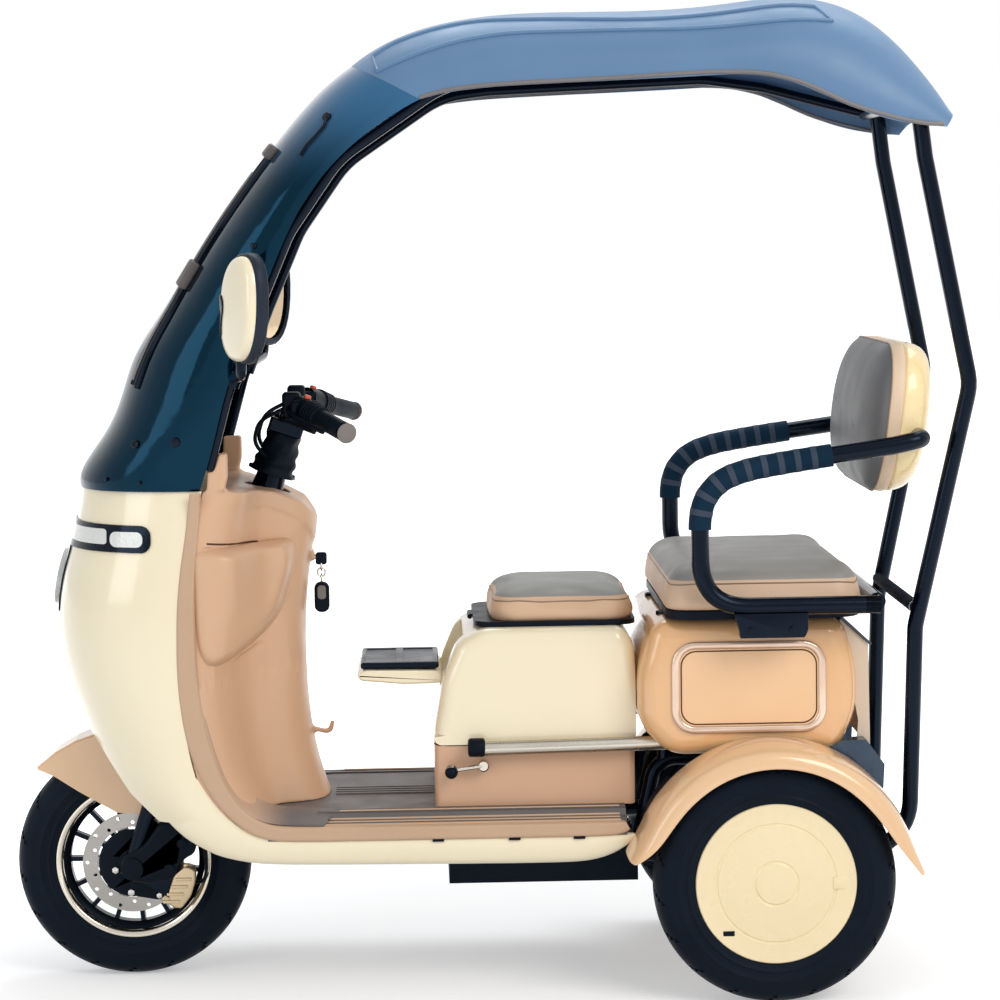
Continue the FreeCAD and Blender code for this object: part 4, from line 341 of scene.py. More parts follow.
def mark(piece, kind, test):
    """Selects faces or edges of a piece by a test of their middle (and normal), for edit mode."""
    take_up(piece)
    bpy.context.tool_settings.mesh_select_mode = (False, kind == "EDGE", kind == "FACE")
    mesh = piece.data
    for row in (mesh.vertices, mesh.edges, mesh.polygons):
        row.foreach_set("select", [False] * len(row))
    if kind == "FACE":
        for face in mesh.polygons:
            face.select = test(face.center, face.normal)
    else:
        for edge in mesh.edges:
            first, last = (mesh.vertices[v].co for v in edge.vertices)
            edge.select = test(first, last)


def grooved(away):
    """Whether a place of the tread, seen from the wheel's middle, lies in one of the slanted grooves."""
    side = abs(away.y)
    if not (groove_from < side < groove_to and math.hypot(away.x, away.z) > groove_foot):
        return False
    turn = int(math.degrees(math.atan2(away.z, away.x)) % 360 / 2)
    slant = int(side / groove_slant)
    return (turn + (slant if away.y > 0 else slant + 5)) % 10 == 0


rubber = surface("rubber", (6, 11, 19), (15, 20, 28), (0.45, 0.65), (500, 0.0003), gloss=0.25, shine=night)
whole_tyre = tyre_half + [(r, -y) for r, y in reversed(tyre_half)]
for name, (body, middle) in tyre_middles.items():
    tyre = turned(whole_tyre, middle, tread_turns)
    mark(tyre, "FACE", lambda place, normal: grooved(place - middle))
    bpy.ops.object.mode_set(mode="EDIT")
    bpy.ops.mesh.extrude_region_shrink_fatten(TRANSFORM_OT_shrink_fatten={"value": -groove_depth})
    bpy.ops.object.mode_set(mode="OBJECT")
    keep(smooth(tyre, 30), name.replace("tyre", "tread"), body, rubber, [name])

# Wheels
# The front wheel is a black casting with a bright lip turned on each rim; the
# rear wheels hide behind cream pressed covers.


def work(piece, kind, **settings):
    """Applies one modifier to a piece."""
    take_up(piece)
    tool = piece.modifiers.new(kind.lower(), kind)
    for setting, value in settings.items():
        setattr(tool, setting, value)
    bpy.ops.object.modifier_apply(modifier=tool.name)
    return piece


def block(low, high, edge, steps=3):
    """A block between two corners with its edges eased."""
    deselect_all()
    low, high = Vector(low), Vector(high)
    bpy.ops.mesh.primitive_cube_add(size=1, location=(low + high) / 2)
    piece = bpy.context.object
    piece.scale = high - low
    bpy.ops.object.transform_apply(location=True, rotation=True, scale=True)
    work(piece, "BEVEL", width=edge, segments=steps)
    return smooth(piece)


def join(pieces):
    deselect_all()
    for piece in pieces:
        piece.select_set(True)
    bpy.context.view_layer.objects.active = pieces[0]
    bpy.ops.object.join()
    return bpy.context.object


cast_black = surface("cast_black", (5, 8, 15), (14, 16, 22), (0.24, 0.36), (400, 0.0002), gloss=0.3,
                     shine=night)
dress(cast_black, "front_rim")
steel = surface("steel", (196, 190, 178), (176, 170, 160), (0.2, 0.34), (400, 0.0001), metal=1.0)
dress(steel, "guard_bars")
cover_cream = surface("cover_cream", (250, 231, 190), (244, 223, 180), (0.2, 0.32), (30, 0.0002), coat=0.3)
# the cover from its rim to its middle, as radius and distance out from the wheel's middle
cover_half = [
    (0.1380, 0.0335), (0.1365, 0.0352), (0.1330, 0.0345), (0.1050, 0.0335), (0.1035, 0.0322),
    (0.1010, 0.0322), (0.0995, 0.0335), (0.0400, 0.0338), (0.0385, 0.0326), (0.0365, 0.0326),
    (0.0350, 0.0338), (0.0340, 0.0345), (0.0, 0.0348),
]
cover_back = 0.0330
for side, name in ((1, "rear_left"), (-1, "rear_right")):
    hub = tyre_middles[name + "_tyre"][1]
    back_of_cover = [(0.0, -side * cover_back), (cover_half[0][0], -side * cover_back)]
    profile = [(r, side * y) for r, y in cover_half] + back_of_cover
    cover = smooth(turned(profile, hub, 96), 30)
    tab = block((-0.118, 0.0325, -0.011), (-0.097, 0.0352, 0.011), 0.0012)
    valve = block((0.072, 0.0325, -0.089), (0.092, 0.0347, -0.080), 0.0012)
    for detail in (tab, valve):
        for vertex in detail.data.vertices:
            vertex.co = hub + Vector((vertex.co.x, side * vertex.co.y, vertex.co.z))
        face_outwards(detail)
    keep(join([cover, tab]), name + "_cover", name + "_wheel", cover_cream, [name + "_rim"])
    keep(valve, name + "_valve", name + "_wheel", rubber)
front_middle = tyre_middles["front_tyre"][1]
lip_profile = [(0.1262, 0.0290), (0.1275, 0.0335), (0.1305, 0.0366), (0.1345, 0.0380), (0.1380, 0.0378),
               (0.1396, 0.0360), (0.1398, 0.0330)]
lips = [turned([(r, side * y) for r, y in lip_profile], front_middle, 96) for side in (1, -1)]
lip = surface("bright_lip", (214, 208, 196), (188, 180, 166), (0.12, 0.24), (300, 0.00008), metal=1.0)
keep(smooth(join(lips)), "rim_lips", "front_wheel", lip)

# Front brake
# A drilled steel disc turns with the wheel; a round carrier and a fluted
# caliper with two pins are bolted to the left fork leg.


def soften(piece, test, width, steps=4):
    """Rounds the edges whose two ends pass a test."""
    mark(piece, "EDGE", test)
    bpy.ops.object.mode_set(mode="EDIT")
    bpy.ops.mesh.bevel(offset=width, segments=steps, affect="EDGES")
    bpy.ops.object.mode_set(mode="OBJECT")
    return piece


def slab(outline, y0, y1, corner, edge, steps=6):
    """An outline of (x, z) places with rounded corners, drawn out from y0 to y1, its rims rounded by edge."""
    piece = stand([(x, y0, z) for x, z in outline], [tuple(range(len(outline)))])
    bpy.ops.object.mode_set(mode="EDIT")
    bpy.ops.mesh.select_all(action="SELECT")
    if corner:
        bpy.ops.mesh.bevel(offset=corner, segments=steps, affect="VERTICES")
        bpy.ops.mesh.select_all(action="SELECT")
    bpy.ops.mesh.extrude_region_move(TRANSFORM_OT_translate={"value": (0, y1 - y0, 0)})
    bpy.ops.object.mode_set(mode="OBJECT")
    face_outwards(piece)
    if edge:
        soften(piece, lambda a, b: abs(a.y - b.y) < 0.00001, edge, 5)
    return piece


def drum(middle, along, radius, length, sides=48, rim=0.0):
    """A round plate or boss about an axis, its rims eased."""
    deselect_all()
    turn = Vector((0, 0, 1)).rotation_difference(Vector(along)).to_euler()
    bpy.ops.mesh.primitive_cylinder_add(vertices=sides, radius=radius, depth=length, location=middle,
                                        rotation=turn)
    bpy.ops.object.transform_apply(location=True, rotation=True, scale=True)
    piece = bpy.context.object
    if rim:
        work(piece, "BEVEL", width=rim, segments=3, limit_method="ANGLE", angle_limit=math.radians(50))
    return smooth(piece)


def bolt_heads(places, along, radius, height, sides=6):
    """Hexagon heads standing on their places."""
    along = Vector(along).normalized()
    return join([drum(Vector(p) + along * height / 2, along, radius, height, sides, radius * 0.12)
                 for p in places])


disc_steel = surface("disc_steel", (168, 164, 158), (140, 138, 136), (0.24, 0.36), (500, 0.0001), metal=1.0)
dress(disc_steel, "brake_disc")
carrier_y, leg_y = 0.0485, 0.0600
champagne = surface("champagne", (214, 192, 158), (196, 174, 140), (0.3, 0.42), (400, 0.0002), metal=0.6)
dress(champagne, "brake_caliper")
carrier_profile = [
    (0.0, carrier_y), (0.0, 0.058), (0.022, 0.058), (0.026, 0.054), (0.056, 0.053), (0.061, 0.0505),
    (0.061, carrier_y),
]
carrier = turned(carrier_profile, front_middle, 64)
arm_outline = [(0.628, 0.262), (0.566, 0.262), (0.556, 0.206), (0.584, 0.140), (0.640, 0.150), (0.640, 0.250)]
arm = slab(arm_outline, carrier_y, 0.0545, 0.012, 0.002)
keep(smooth(join([carrier, arm])), "brake_carrier", "steering", axle_black)
body_outline = [
    (0.538, 0.210), (0.523, 0.203), (0.523, 0.181), (0.531, 0.155), (0.549, 0.132), (0.568, 0.138),
    (0.571, 0.161), (0.560, 0.194),
]
caliper = [slab(body_outline, 0.0550, 0.0920, 0.006, 0.004)]
for step in range(4):
    share = step / 3
    x = 0.546 + 0.022 * share
    z = 0.186 - 0.040 * share
    caliper.append(block((x - 0.017, 0.0905, z - 0.0028), (x + 0.013, 0.0945, z + 0.0028), 0.0014))
caliper.append(drum((0.540, 0.080, 0.206), (0, 0, 1), 0.006, 0.012, 16, 0.001))
keep(smooth(join(caliper)), "caliper_body", "steering", champagne)
silver = surface("silver", (206, 204, 198), (180, 178, 172), (0.2, 0.3), (300, 0.0001), metal=1.0)
leg_outline = [
    (0.580, 0.292), (0.545, 0.288), (0.523, 0.260), (0.519, 0.231), (0.545, 0.222), (0.556, 0.190),
    (0.600, 0.176), (0.650, 0.186), (0.656, 0.226), (0.615, 0.244),
]
casting = slab(leg_outline, leg_y, 0.0920, 0.014, 0.007)
leg_bosses = ((0.634, 0.206, 0.020), (0.568, 0.204, 0.010), (0.545, 0.250, 0.009))
bosses = [drum((x, 0.0925, z), (0, 1, 0), r, 0.005, 32, 0.0012) for x, z, r in leg_bosses]
keep(smooth(join([casting] + bosses)), "leg_casting", "steering", axle_black)
hub_places = [(0.624, 0.0535, 0.250), (0.667, 0.0535, 0.197), (0.640, 0.0535, 0.156)]
hub_bolts = bolt_heads(hub_places, (0, 1, 0), 0.0066, 0.004)
pin_bolts = bolt_heads([(0.574, 0.0545, 0.226), (0.590, 0.0545, 0.150)], (0, 1, 0), 0.0055, 0.004)
keep(smooth(join([hub_bolts, pin_bolts])), "brake_bolts", "steering", silver)
dress(rubber, "brake_hose")

# Fenders and mudguard
# Thin lacquered mouldings: an arch over each rear wheel, rolled over at its
# outer shoulder and turned out at its two tips, and a guard on the fork.


def walled(piece, thickness):
    """Gives a skin its wall and rounds it."""
    work(piece, "SOLIDIFY", thickness=thickness, offset=-1)
    return work(piece, "SUBSURF", levels=2, render_levels=2)


def both_sides(piece):
    """Adds the other side's twin across the vehicle's middle."""
    return work(piece, "MIRROR", use_axis=(False, True, False), use_mirror_merge=False)


peach = surface("peach", (241, 201, 156), (232, 188, 142), (0.14, 0.24), (40, 0.0004), coat=0.6)
axle = tyre_middles["rear_left_tyre"][1]
# angle round the wheel, outer radius, depth of the skirt, and how far the skirt flares out
fender_arch = [
    (10.5, 0.2585, 0.012, 0.006), (13, 0.2530, 0.020, 0.004), (17, 0.2480, 0.029, 0.001),
    (23, 0.2455, 0.036, 0.0), (32, 0.2455, 0.040, 0.0), (44, 0.2460, 0.041, 0.0), (58, 0.2460, 0.041, 0.0),
    (72, 0.2460, 0.041, 0.0), (86, 0.2460, 0.041, 0.0), (100, 0.2460, 0.041, 0.0),
    (114, 0.2460, 0.041, 0.0), (128, 0.2460, 0.041, 0.0), (142, 0.2455, 0.040, 0.0),
    (153, 0.2455, 0.037, 0.0), (162, 0.2465, 0.031, 0.0), (168, 0.2490, 0.023, 0.003),
    (173, 0.2530, 0.015, 0.006), (176, 0.2570, 0.010, 0.008),
]
# the top of the arch from the body outwards, as drop and distance from the vehicle's middle
fender_top = [(0.0, 0.245), (0.0, 0.285), (0.001, 0.312), (0.004, 0.332), (0.010, 0.348), (0.019, 0.3575)]
fender_skirt, fender_out = 0.041, 0.3610
rows = []
for angle, radius, skirt, flare in fender_arch:
    turn = math.radians(angle)
    section = [(drop * skirt / fender_skirt, y) for drop, y in fender_top]
    section += [(skirt * 0.72, 0.3605 + flare * 0.5), (skirt, fender_out + flare)]
    out = Vector((math.cos(turn), 0, math.sin(turn)))
    rows.append([Vector((axle.x, y, axle.z)) + out * (radius - drop) for drop, y in section])
fender = skin(rows)
keep(smooth(both_sides(walled(fender, 0.0032))), "fender_skins", "chassis", peach,
     ["rear_fenders"])
dress(peach, "front_mudguard")
black_satin = surface("black_satin", (7, 10, 17), (17, 19, 26), (0.32, 0.5), (600, 0.0002), gloss=0.2,
                      shine=night)
dress(black_satin, "inner_fenders")

# Floor and sills
# A ribbed floor moulding with a rolled tan edge sits in two cream sills,
# which run forward into the foot of the fairing.


def side_of(x, z, names, start=0.6):
    """How far out the outermost of some nodes reaches at a place seen from the side."""
    reach = [0.0]
    for name in names:
        hit, place, normal, face = nodes[name].ray_cast(Vector((x, start, z)), Vector((0, -1, 0)))
        if hit:
            reach.append(place.y)
    return max(reach)


def run_into(finish, colour, low, high, axis, soft=True, lean=0.0):
    """Gives a finish another colour up to low along an axis, which runs into its own by high.

    The axis may lean: its measure then grows by lean for each metre of height."""
    tree = finish.node_tree
    place = tree.nodes.new("ShaderNodeTexCoord")
    split = tree.nodes.new("ShaderNodeSeparateXYZ")
    tree.links.new(place.outputs["Object"], split.inputs["Vector"])
    along = tree.nodes.new("ShaderNodeMath")
    along.operation = "MULTIPLY_ADD"
    along.inputs[1].default_value = lean
    tree.links.new(split.outputs["Z"], along.inputs[0])
    tree.links.new(split.outputs[axis], along.inputs[2])
    share = tree.nodes.new("ShaderNodeMapRange")
    if soft:
        share.interpolation_type = "SMOOTHSTEP"
    share.inputs["From Min"].default_value = low
    share.inputs["From Max"].default_value = high
    tree.links.new(along.outputs["Value"], share.inputs["Value"])
    meet = tree.nodes.new("ShaderNodeMix")
    meet.data_type = "RGBA"
    meet.inputs["A"].default_value = ink(*colour)
    tree.links.new(share.outputs["Result"], meet.inputs["Factor"])
    tree.links.new(tree.nodes["tint"].outputs["Result"], meet.inputs["B"])
    tree.links.new(meet.outputs["Result"], tree.nodes["Principled BSDF"].inputs["Base Color"])
    return finish


taupe = surface("taupe", (102, 96, 95), (88, 83, 82), (0.42, 0.58), (700, 0.0002))
dress(taupe, "floor_board")
cream = surface("cream", (250, 238, 207), (244, 230, 197), (0.14, 0.24), (30, 0.0002), coat=0.5)
dress(cream, "front_fairing")
warm_edge = surface("warm_edge", (206, 172, 142), (192, 160, 132), (0.36, 0.5), (500, 0.00015))
# the rolled flange seen from the side: its outer and its inner line, down the shield and back along the floor
flange = [
    (0.505, 0.889, 0.486, 0.889), (0.510, 0.848, 0.488, 0.850), (0.516, 0.806, 0.492, 0.806),
    (0.523, 0.766, 0.497, 0.766), (0.528, 0.727, 0.500, 0.728), (0.532, 0.682, 0.501, 0.684),
    (0.533, 0.642, 0.501, 0.642), (0.534, 0.600, 0.500, 0.600), (0.533, 0.560, 0.497, 0.558),
    (0.528, 0.500, 0.490, 0.505), (0.516, 0.438, 0.479, 0.450), (0.495, 0.388, 0.464, 0.403),
    (0.469, 0.345, 0.446, 0.364), (0.433, 0.308, 0.418, 0.330), (0.398, 0.288, 0.390, 0.314),
    (0.365, 0.282, 0.362, 0.308), (0.300, 0.2810, 0.300, 0.3065), (0.200, 0.2810, 0.200, 0.3065),
    (0.100, 0.2810, 0.100, 0.3065), (0.0, 0.2810, 0.0, 0.3065), (-0.100, 0.2810, -0.100, 0.3065),
    (-0.190, 0.2810, -0.190, 0.3065), (-0.226, 0.2830, -0.222, 0.3065), (-0.242, 0.2920, -0.234, 0.3065),
]
flange_section = [(-0.05, -0.006), (0.0, 0.0012), (0.12, 0.0040), (0.30, 0.0042), (0.60, 0.0030),
                  (0.84, 0.0036), (0.97, 0.0020), (1.06, -0.012)]
front_body = ["front_fairing", "inner_shield"]
floor_y = 0.2496
rows = []
for x0, z0, x1, z1 in flange:
    outer_y = max(side_of(x0, z0, front_body), side_of(x0 - 0.012, z0, front_body))
    inner_y = side_of(x1, z1, front_body)
    if z0 < 0.40 or outer_y < 0.2:
        outer_y = inner_y = floor_y
    inner_y = max(inner_y, outer_y - 0.006)
    row = []
    for across, out in flange_section:
        reach = outer_y + (inner_y - outer_y) * min(max(across, 0.0), 1.0) + out
        row.append(Vector((x0 + (x1 - x0) * across, reach, z0 + (z1 - z0) * across)))
    rows.append(row)
edge = walled(skin(rows), 0.0024)
# the floor's ribs beside it: distance from the vehicle's middle, height and front end
rib_places = ((0.2390, 0.3075, 0.300), (0.2270, 0.3100, 0.290), (0.2150, 0.3135, 0.280),
              (0.1990, 0.3238, 0.262))
rib_half = 0.0034
floor_ribs = [block((-0.226, y - rib_half, z - 0.004), (start_x, y + rib_half, z + 0.0022), 0.0018)
              for y, z, start_x in rib_places]
keep(smooth(both_sides(join([edge] + floor_ribs))), "floor_edges", "chassis", warm_edge)

# the toe: the shield's foot runs out to the flange in one hollow curve, then into the floor
# each round by its place on the flange, the lift of its middle, and its inner end
toe_line = [
    (0.490, 0.505, -0.004, (0.466, 0.224, 0.500)), (0.479, 0.450, -0.004, (0.452, 0.217, 0.438)),
    (0.464, 0.403, -0.004, (0.436, 0.203, 0.388)), (0.446, 0.364, -0.003, (0.412, 0.184, 0.350)),
    (0.418, 0.332, 0.003, (0.380, 0.165, 0.332)), (0.390, 0.317, 0.006, (0.345, 0.160, 0.3270)),
    (0.358, 0.3115, 0.007, (0.315, 0.165, 0.3260)), (0.322, 0.3095, 0.0065, (0.285, 0.172, 0.3255)),
    (0.285, 0.3085, 0.0045, (0.255, 0.185, 0.3248)),
]
toe_rows = []
for x, z, lift, deep in toe_line:
    rim = Vector((x, 0.2485, z))
    deep = Vector(deep)
    middle = rim.lerp(deep, 0.5) + Vector((0.004, -0.004, lift))
    start = rim + Vector((0.004, -0.004, -0.002))
    toe_rows.append([start, rim, rim.lerp(middle, 0.4), middle, middle.lerp(deep, 0.6), deep])
toe = walled(skin(toe_rows), 0.002)
toe_tan = surface("toe_tan", (206, 170, 142), (190, 158, 134), (0.4, 0.54), (500, 0.00015))
run_into(toe_tan, (102, 96, 95), 0.340, 0.425, "X")
keep(smooth(both_sides(toe)), "floor_toes", "chassis", toe_tan)

# the sill by its place along the vehicle: its bottom and its top
sill_line = [
    (0.572, 0.330, 0.352), (0.552, 0.306, 0.354), (0.530, 0.287, 0.372), (0.512, 0.275, 0.408),
    (0.495, 0.266, 0.386), (0.478, 0.257, 0.358), (0.460, 0.251, 0.335), (0.438, 0.246, 0.313),
    (0.415, 0.242, 0.298), (0.385, 0.2385, 0.288), (0.300, 0.2360, 0.2860), (0.100, 0.2335, 0.2850),
    (-0.100, 0.2315, 0.2845), (-0.165, 0.2325, 0.2845), (-0.205, 0.2420, 0.2845), (-0.236, 0.2600, 0.2845),
    (-0.252, 0.2760, 0.2850),
]
# its section from the inner foot over the side to the top, as distance off the side and share of the height
sill_section = [(-0.060, 0.10), (-0.030, 0.0), (-0.010, 0.02), (-0.002, 0.16), (0.0006, 0.5), (0.0008, 0.86),
                (-0.001, 1.0), (-0.012, 1.02)]
sill_y, nose_x = 0.2484, 0.52
rows = []
for x, bottom, top in sill_line:
    out = sill_y - max(x - nose_x, 0.0) * 0.55
    rows.append([Vector((x, out + off, bottom + (top - bottom) * share)) for off, share in sill_section])
sill = walled(skin(rows), 0.003)
keep(smooth(both_sides(sill)), "sill_skins", "chassis", cream, ["side_sills"])
slot_z, slot_half, slot_half_high = 0.2800, 0.010, 0.0024
slot_low, slot_high = slot_z - slot_half_high, slot_z + slot_half_high
vents = join([block((x - slot_half, 0.2470, slot_low), (x + slot_half, 0.2528, slot_high), 0.0008)
              for x in (0.091, -0.041, -0.153)])
keep(both_sides(vents), "sill_slots", "chassis", black_satin)
dress(black_satin, "battery_box")

# Lamps
# A black band wraps round the nose with two clear lenses on each side, a round
# headlamp sits in a panel below it, and smoked clusters stand over the fenders.

black_gloss = surface("black_gloss", (4, 8, 16), (11, 15, 22), (0.08, 0.18), (60, 0.0003), gloss=0.35,
                      shine=night)
dress(black_gloss, "lamp_surround")
lens = surface("lens", (236, 236, 226), (214, 216, 214), (0.05, 0.1), (160, 0.0016), coat=0.8)
dress(lens, "front_lenses")
tail_smoke = surface("tail_smoke", (20, 34, 52), (70, 78, 88), (0.08, 0.16), (60, 0.0012), gloss=0.5,
                     patch_size=22, shine=(0.5, 0.7, 1))
dress(tail_smoke, "tail_lamps")

# Inner shield
# The tan moulding behind the fairing carries the dash, a map pocket on each side
# with a slot over it, and the key.

tan = surface("tan", (222, 182, 149), (213, 171, 138), (0.32, 0.46), (420, 0.00012))
shield = bpy.data.objects.new("shield", nodes["inner_shield"].data.copy())
bpy.context.scene.collection.objects.link(shield)
face_outwards(shield, 0.0001)
work(shield, "REMESH", mode="VOXEL", voxel_size=0.0028, use_smooth_shade=True)
work(shield, "SMOOTH", factor=0.5, iterations=16)
work(shield, "DECIMATE", ratio=0.35)
# by place along the vehicle: how far out the wall behind the pocket stands at its foot and at its top,
# and how far the pocket stands off the wall
wall_line = [
    (0.325, 0.048, 0.078, 0.030), (0.345, 0.078, 0.094, 0.040), (0.365, 0.092, 0.103, 0.042),
    (0.385, 0.101, 0.112, 0.046), (0.405, 0.112, 0.135, 0.058), (0.430, 0.141, 0.193, 0.056),
    (0.450, 0.195, 0.222, 0.034), (0.470, 0.228, 0.236, 0.017), (0.490, 0.243, 0.243, 0.008),
    (0.510, 0.248, 0.246, 0.005),
]
wall_foot, wall_rise = 0.56, 0.24


def wall_at(x, z):
    """How far out the wall stands at a place, and how far the pocket stands off it."""
    x = min(max(x, wall_line[0][0]), wall_line[-1][0])
    rise = min(max((z - wall_foot) / wall_rise, 0.0), 1.0)
    for low, high in zip(wall_line, wall_line[1:]):
        if x <= high[0]:
            share = (x - low[0]) / (high[0] - low[0])
            wall, top, bulge = (a + (b - a) * share for a, b in zip(low[1:], high[1:]))
            return wall + (top - wall) * rise, bulge


pocket_line = [
    (0.502, 0.790), (0.470, 0.792), (0.430, 0.791), (0.385, 0.792), (0.348, 0.795), (0.332, 0.787),
    (0.331, 0.765), (0.336, 0.738), (0.344, 0.706), (0.354, 0.675), (0.371, 0.644), (0.402, 0.616),
    (0.436, 0.594), (0.464, 0.583), (0.485, 0.586), (0.499, 0.612), (0.504, 0.655), (0.505, 0.720),
    (0.505, 0.765),
]
pocket_round = 0.020


def pocket_at(x, z, inset):
    """A place of the pocket's face, which rises from the wall within a short way of its edge."""
    wall, bulge = wall_at(x, z)
    rise = 1 - (1 - min(inset / pocket_round, 1.0)) ** 2.2
    return Vector((x, wall - 0.006 + (bulge + 0.0075) * rise, z))


pocket_edge = []
for first, last in zip(pocket_line, pocket_line[1:] + pocket_line[:1]):
    for share in (0.0, 0.25, 0.5, 0.75):
        pocket_edge.append(Vector(first).lerp(Vector(last), share))
for step in range(4):
    pocket_edge = [(before + here * 2 + after) / 4 for before, here, after in
                   zip(pocket_edge[-1:] + pocket_edge[:-1], pocket_edge, pocket_edge[1:] + pocket_edge[:1])]
pocket_middle = Vector((0.428, 0.704))
pocket_rows = []
for share in (1.0, 0.985, 0.965, 0.94, 0.91, 0.87, 0.82, 0.74, 0.64, 0.52, 0.40, 0.26, 0.12, 0.02):
    row = []
    for place in pocket_edge:
        spot = pocket_middle.lerp(place, share)
        row.append(pocket_at(spot.x, spot.y, (1 - share) * (place - pocket_middle).length))
    pocket_rows.append(row)
pockets = skin(pocket_rows, round_rows=True, capped=True)
work(pockets, "SMOOTH", factor=0.5, iterations=3)
work(pockets, "SUBSURF", levels=1, render_levels=1)
# the shield's own wall is laid flat under the pocket
for vertex in shield.data.vertices:
    x, y, z = vertex.co
    wall = wall_at(x, z)[0] - 0.001
    if 0.322 < x < 0.512 and 0.555 < z < 0.793 and abs(y) > wall:
        vertex.co.y = math.copysign(wall, y)
slot_front, slot_rear = Vector((0.478, 0.6, 0.7995)), Vector((0.398, 0.6, 0.7905))
slot_places = []
for step in range(9):
    found, place, normal, face = shield.ray_cast(slot_front.lerp(slot_rear, step / 8), Vector((0, -1, 0)))
    slot_places.append(place + Vector((0, 0.0006, 0)))
keep(smooth(both_sides(pockets), 60), "pocket_faces", "chassis", tan)
keep(smooth(shield, 180), "shield_skin", "chassis", tan, ["inner_shield"])
slot_shadow = surface("slot_shadow", (96, 66, 48), (80, 54, 40), (0.6, 0.7), (300, 0.0001), gloss=0.1)
keep(both_sides(tube(slot_places, 0.0015, 2)), "pocket_slots", "chassis", slot_shadow)
fob = slab([(0.2775, 0.648), (0.3045, 0.648), (0.3045, 0.703), (0.2775, 0.703)], -0.0075, 0.0075, 0.012,
           0.005, 6)
fob_face = slab([(0.2835, 0.672), (0.2985, 0.672), (0.2985, 0.697), (0.2835, 0.697)], 0.0070, 0.0085, 0.006,
                0.0005, 5)
key_x, link_half, link_half_high, link_wire = 0.291, 0.0068, 0.0080, 0.0015
links = []
for z, across in ((0.709, (0, 1, 0)), (0.720, (1, 0, 0)), (0.731, (0, 1, 0))):
    turns = [2 * math.pi * step / 20 for step in range(20)]
    ring = [Vector((key_x, 0, z + link_half_high * math.sin(t))) + Vector(across) * link_half * math.cos(t)
            for t in turns]
    links.append(tube(ring, link_wire, 2, True))
key_head = slab([(0.281, 0.734), (0.301, 0.734), (0.301, 0.756), (0.281, 0.756)], -0.006, 0.006, 0.005, 0.002)
key_blade = drum((0.310, 0, 0.748), (1, 0, 0), 0.0045, 0.030, 16, 0.0008)
keep(smooth(join([fob, key_head])), "fob_body", "chassis", black_satin, ["key_fob"])
keep(smooth(join(links + [key_blade])), "key_links", "chassis", steel)
fob_grey = surface("fob_grey", (120, 112, 104), (96, 92, 90), (0.2, 0.3), (300, 0.0001))
keep(smooth(fob_face), "fob_panel", "chassis", fob_grey)

# Seat box
# Two mouldings under the driver's saddle: a cream upper half with drawn-in
# shoulders over a tan lower half, with a niche in front for the child's seat.


def cut_out(piece, cutter):
    """Takes one piece's room out of another."""
    work(piece, "BOOLEAN", operation="DIFFERENCE", object=cutter, solver="EXACT")
    bpy.data.objects.remove(cutter)


def rounded(route, reach, steps=8):
    """A route of straight runs with its corners rounded off, reach from each corner."""
    route = [Vector(p) for p in route]
    places = [route[0]]
    for before, here, after in zip(route, route[1:], route[2:]):
        start = here + (before - here).normalized() * reach
        end = here + (after - here).normalized() * reach
        for step in range(steps + 1):
            share = step / steps
            places.append(start.lerp(here, share).lerp(here.lerp(end, share), share))
    return places + [route[-1]]


upper_outline = [
    (0.006, 0.6345), (0.052, 0.6110), (0.078, 0.5500), (0.094, 0.4600), (0.095, 0.4320), (-0.2585, 0.4320),
    (-0.2585, 0.6000), (-0.2380, 0.6345),
]
upper = slab(upper_outline, -0.1735, 0.1735, 0.014, 0.0)
soften(upper, lambda a, b: abs(a.y - b.y) < 0.00001 and min(a.z, b.z) > 0.45, 0.026, 6)
niche = block((0.040, -0.112, 0.524), (0.120, 0.112, 0.70), 0.006)
hollow = block((-0.2380, -0.140, 0.42), (0.026, 0.140, 0.62), 0.012)
cut_out(upper, niche)
cut_out(upper, hollow)
keep(smooth(upper, 34), "upper_box", "chassis", cream, ["seat_box_upper"])
lower_outline = [(0.0935, 0.4305), (0.0940, 0.3225), (-0.2560, 0.3225), (-0.2565, 0.4305)]
lower = slab(lower_outline, -0.1725, 0.1725, 0.0, 0.0)
soften(lower, lambda a, b: abs(a.z - b.z) > 0.05, 0.012, 5)
box_tan = surface("box_tan", (220, 178, 146), (211, 168, 136), (0.32, 0.46), (420, 0.00012))
keep(smooth(lower, 34), "lower_box", "chassis", box_tan, ["seat_box_lower"])
seam_z = 0.4312
seam_route = rounded([(0.0955, 0.1500, seam_z), (0.080, 0.1728, seam_z), (-0.235, 0.1728, seam_z)], 0.012)
keep(both_sides(tube(seam_route, 0.0011, 2)), "box_seams", "chassis", slot_shadow)

# Guard bars and parking lever
# A polished bar runs back from each side of the seat box with a black end
# cap; the lever under it has a black ball.

cap_places = [(0.0215, 0.1935, 0.4305), (0.0215, -0.1935, 0.4305)]
caps = join([drum(place, (1, 0, 0), 0.0165, 0.030, 24, 0.005) for place in cap_places])
keep(caps, "guard_bar_caps", "chassis", black_satin)
dress(steel, "parking_lever")
deselect_all()
bpy.ops.mesh.primitive_uv_sphere_add(segments=24, ring_count=16, radius=0.0115,
                                     location=(0.066, 0.199, 0.3885))
bpy.ops.object.transform_apply(location=True, rotation=True, scale=True)
ball = bpy.context.object
boss = drum((0.009, 0.1785, 0.3935), (0, 1, 0), 0.0085, 0.008, 24, 0.002)
keep(smooth(join([ball, boss]), 60), "lever_ball", "chassis", black_satin)

# Child's seat
# A shallow cream tray on a hinge at the front of the seat box, with a black
# pad of two sunk panels.

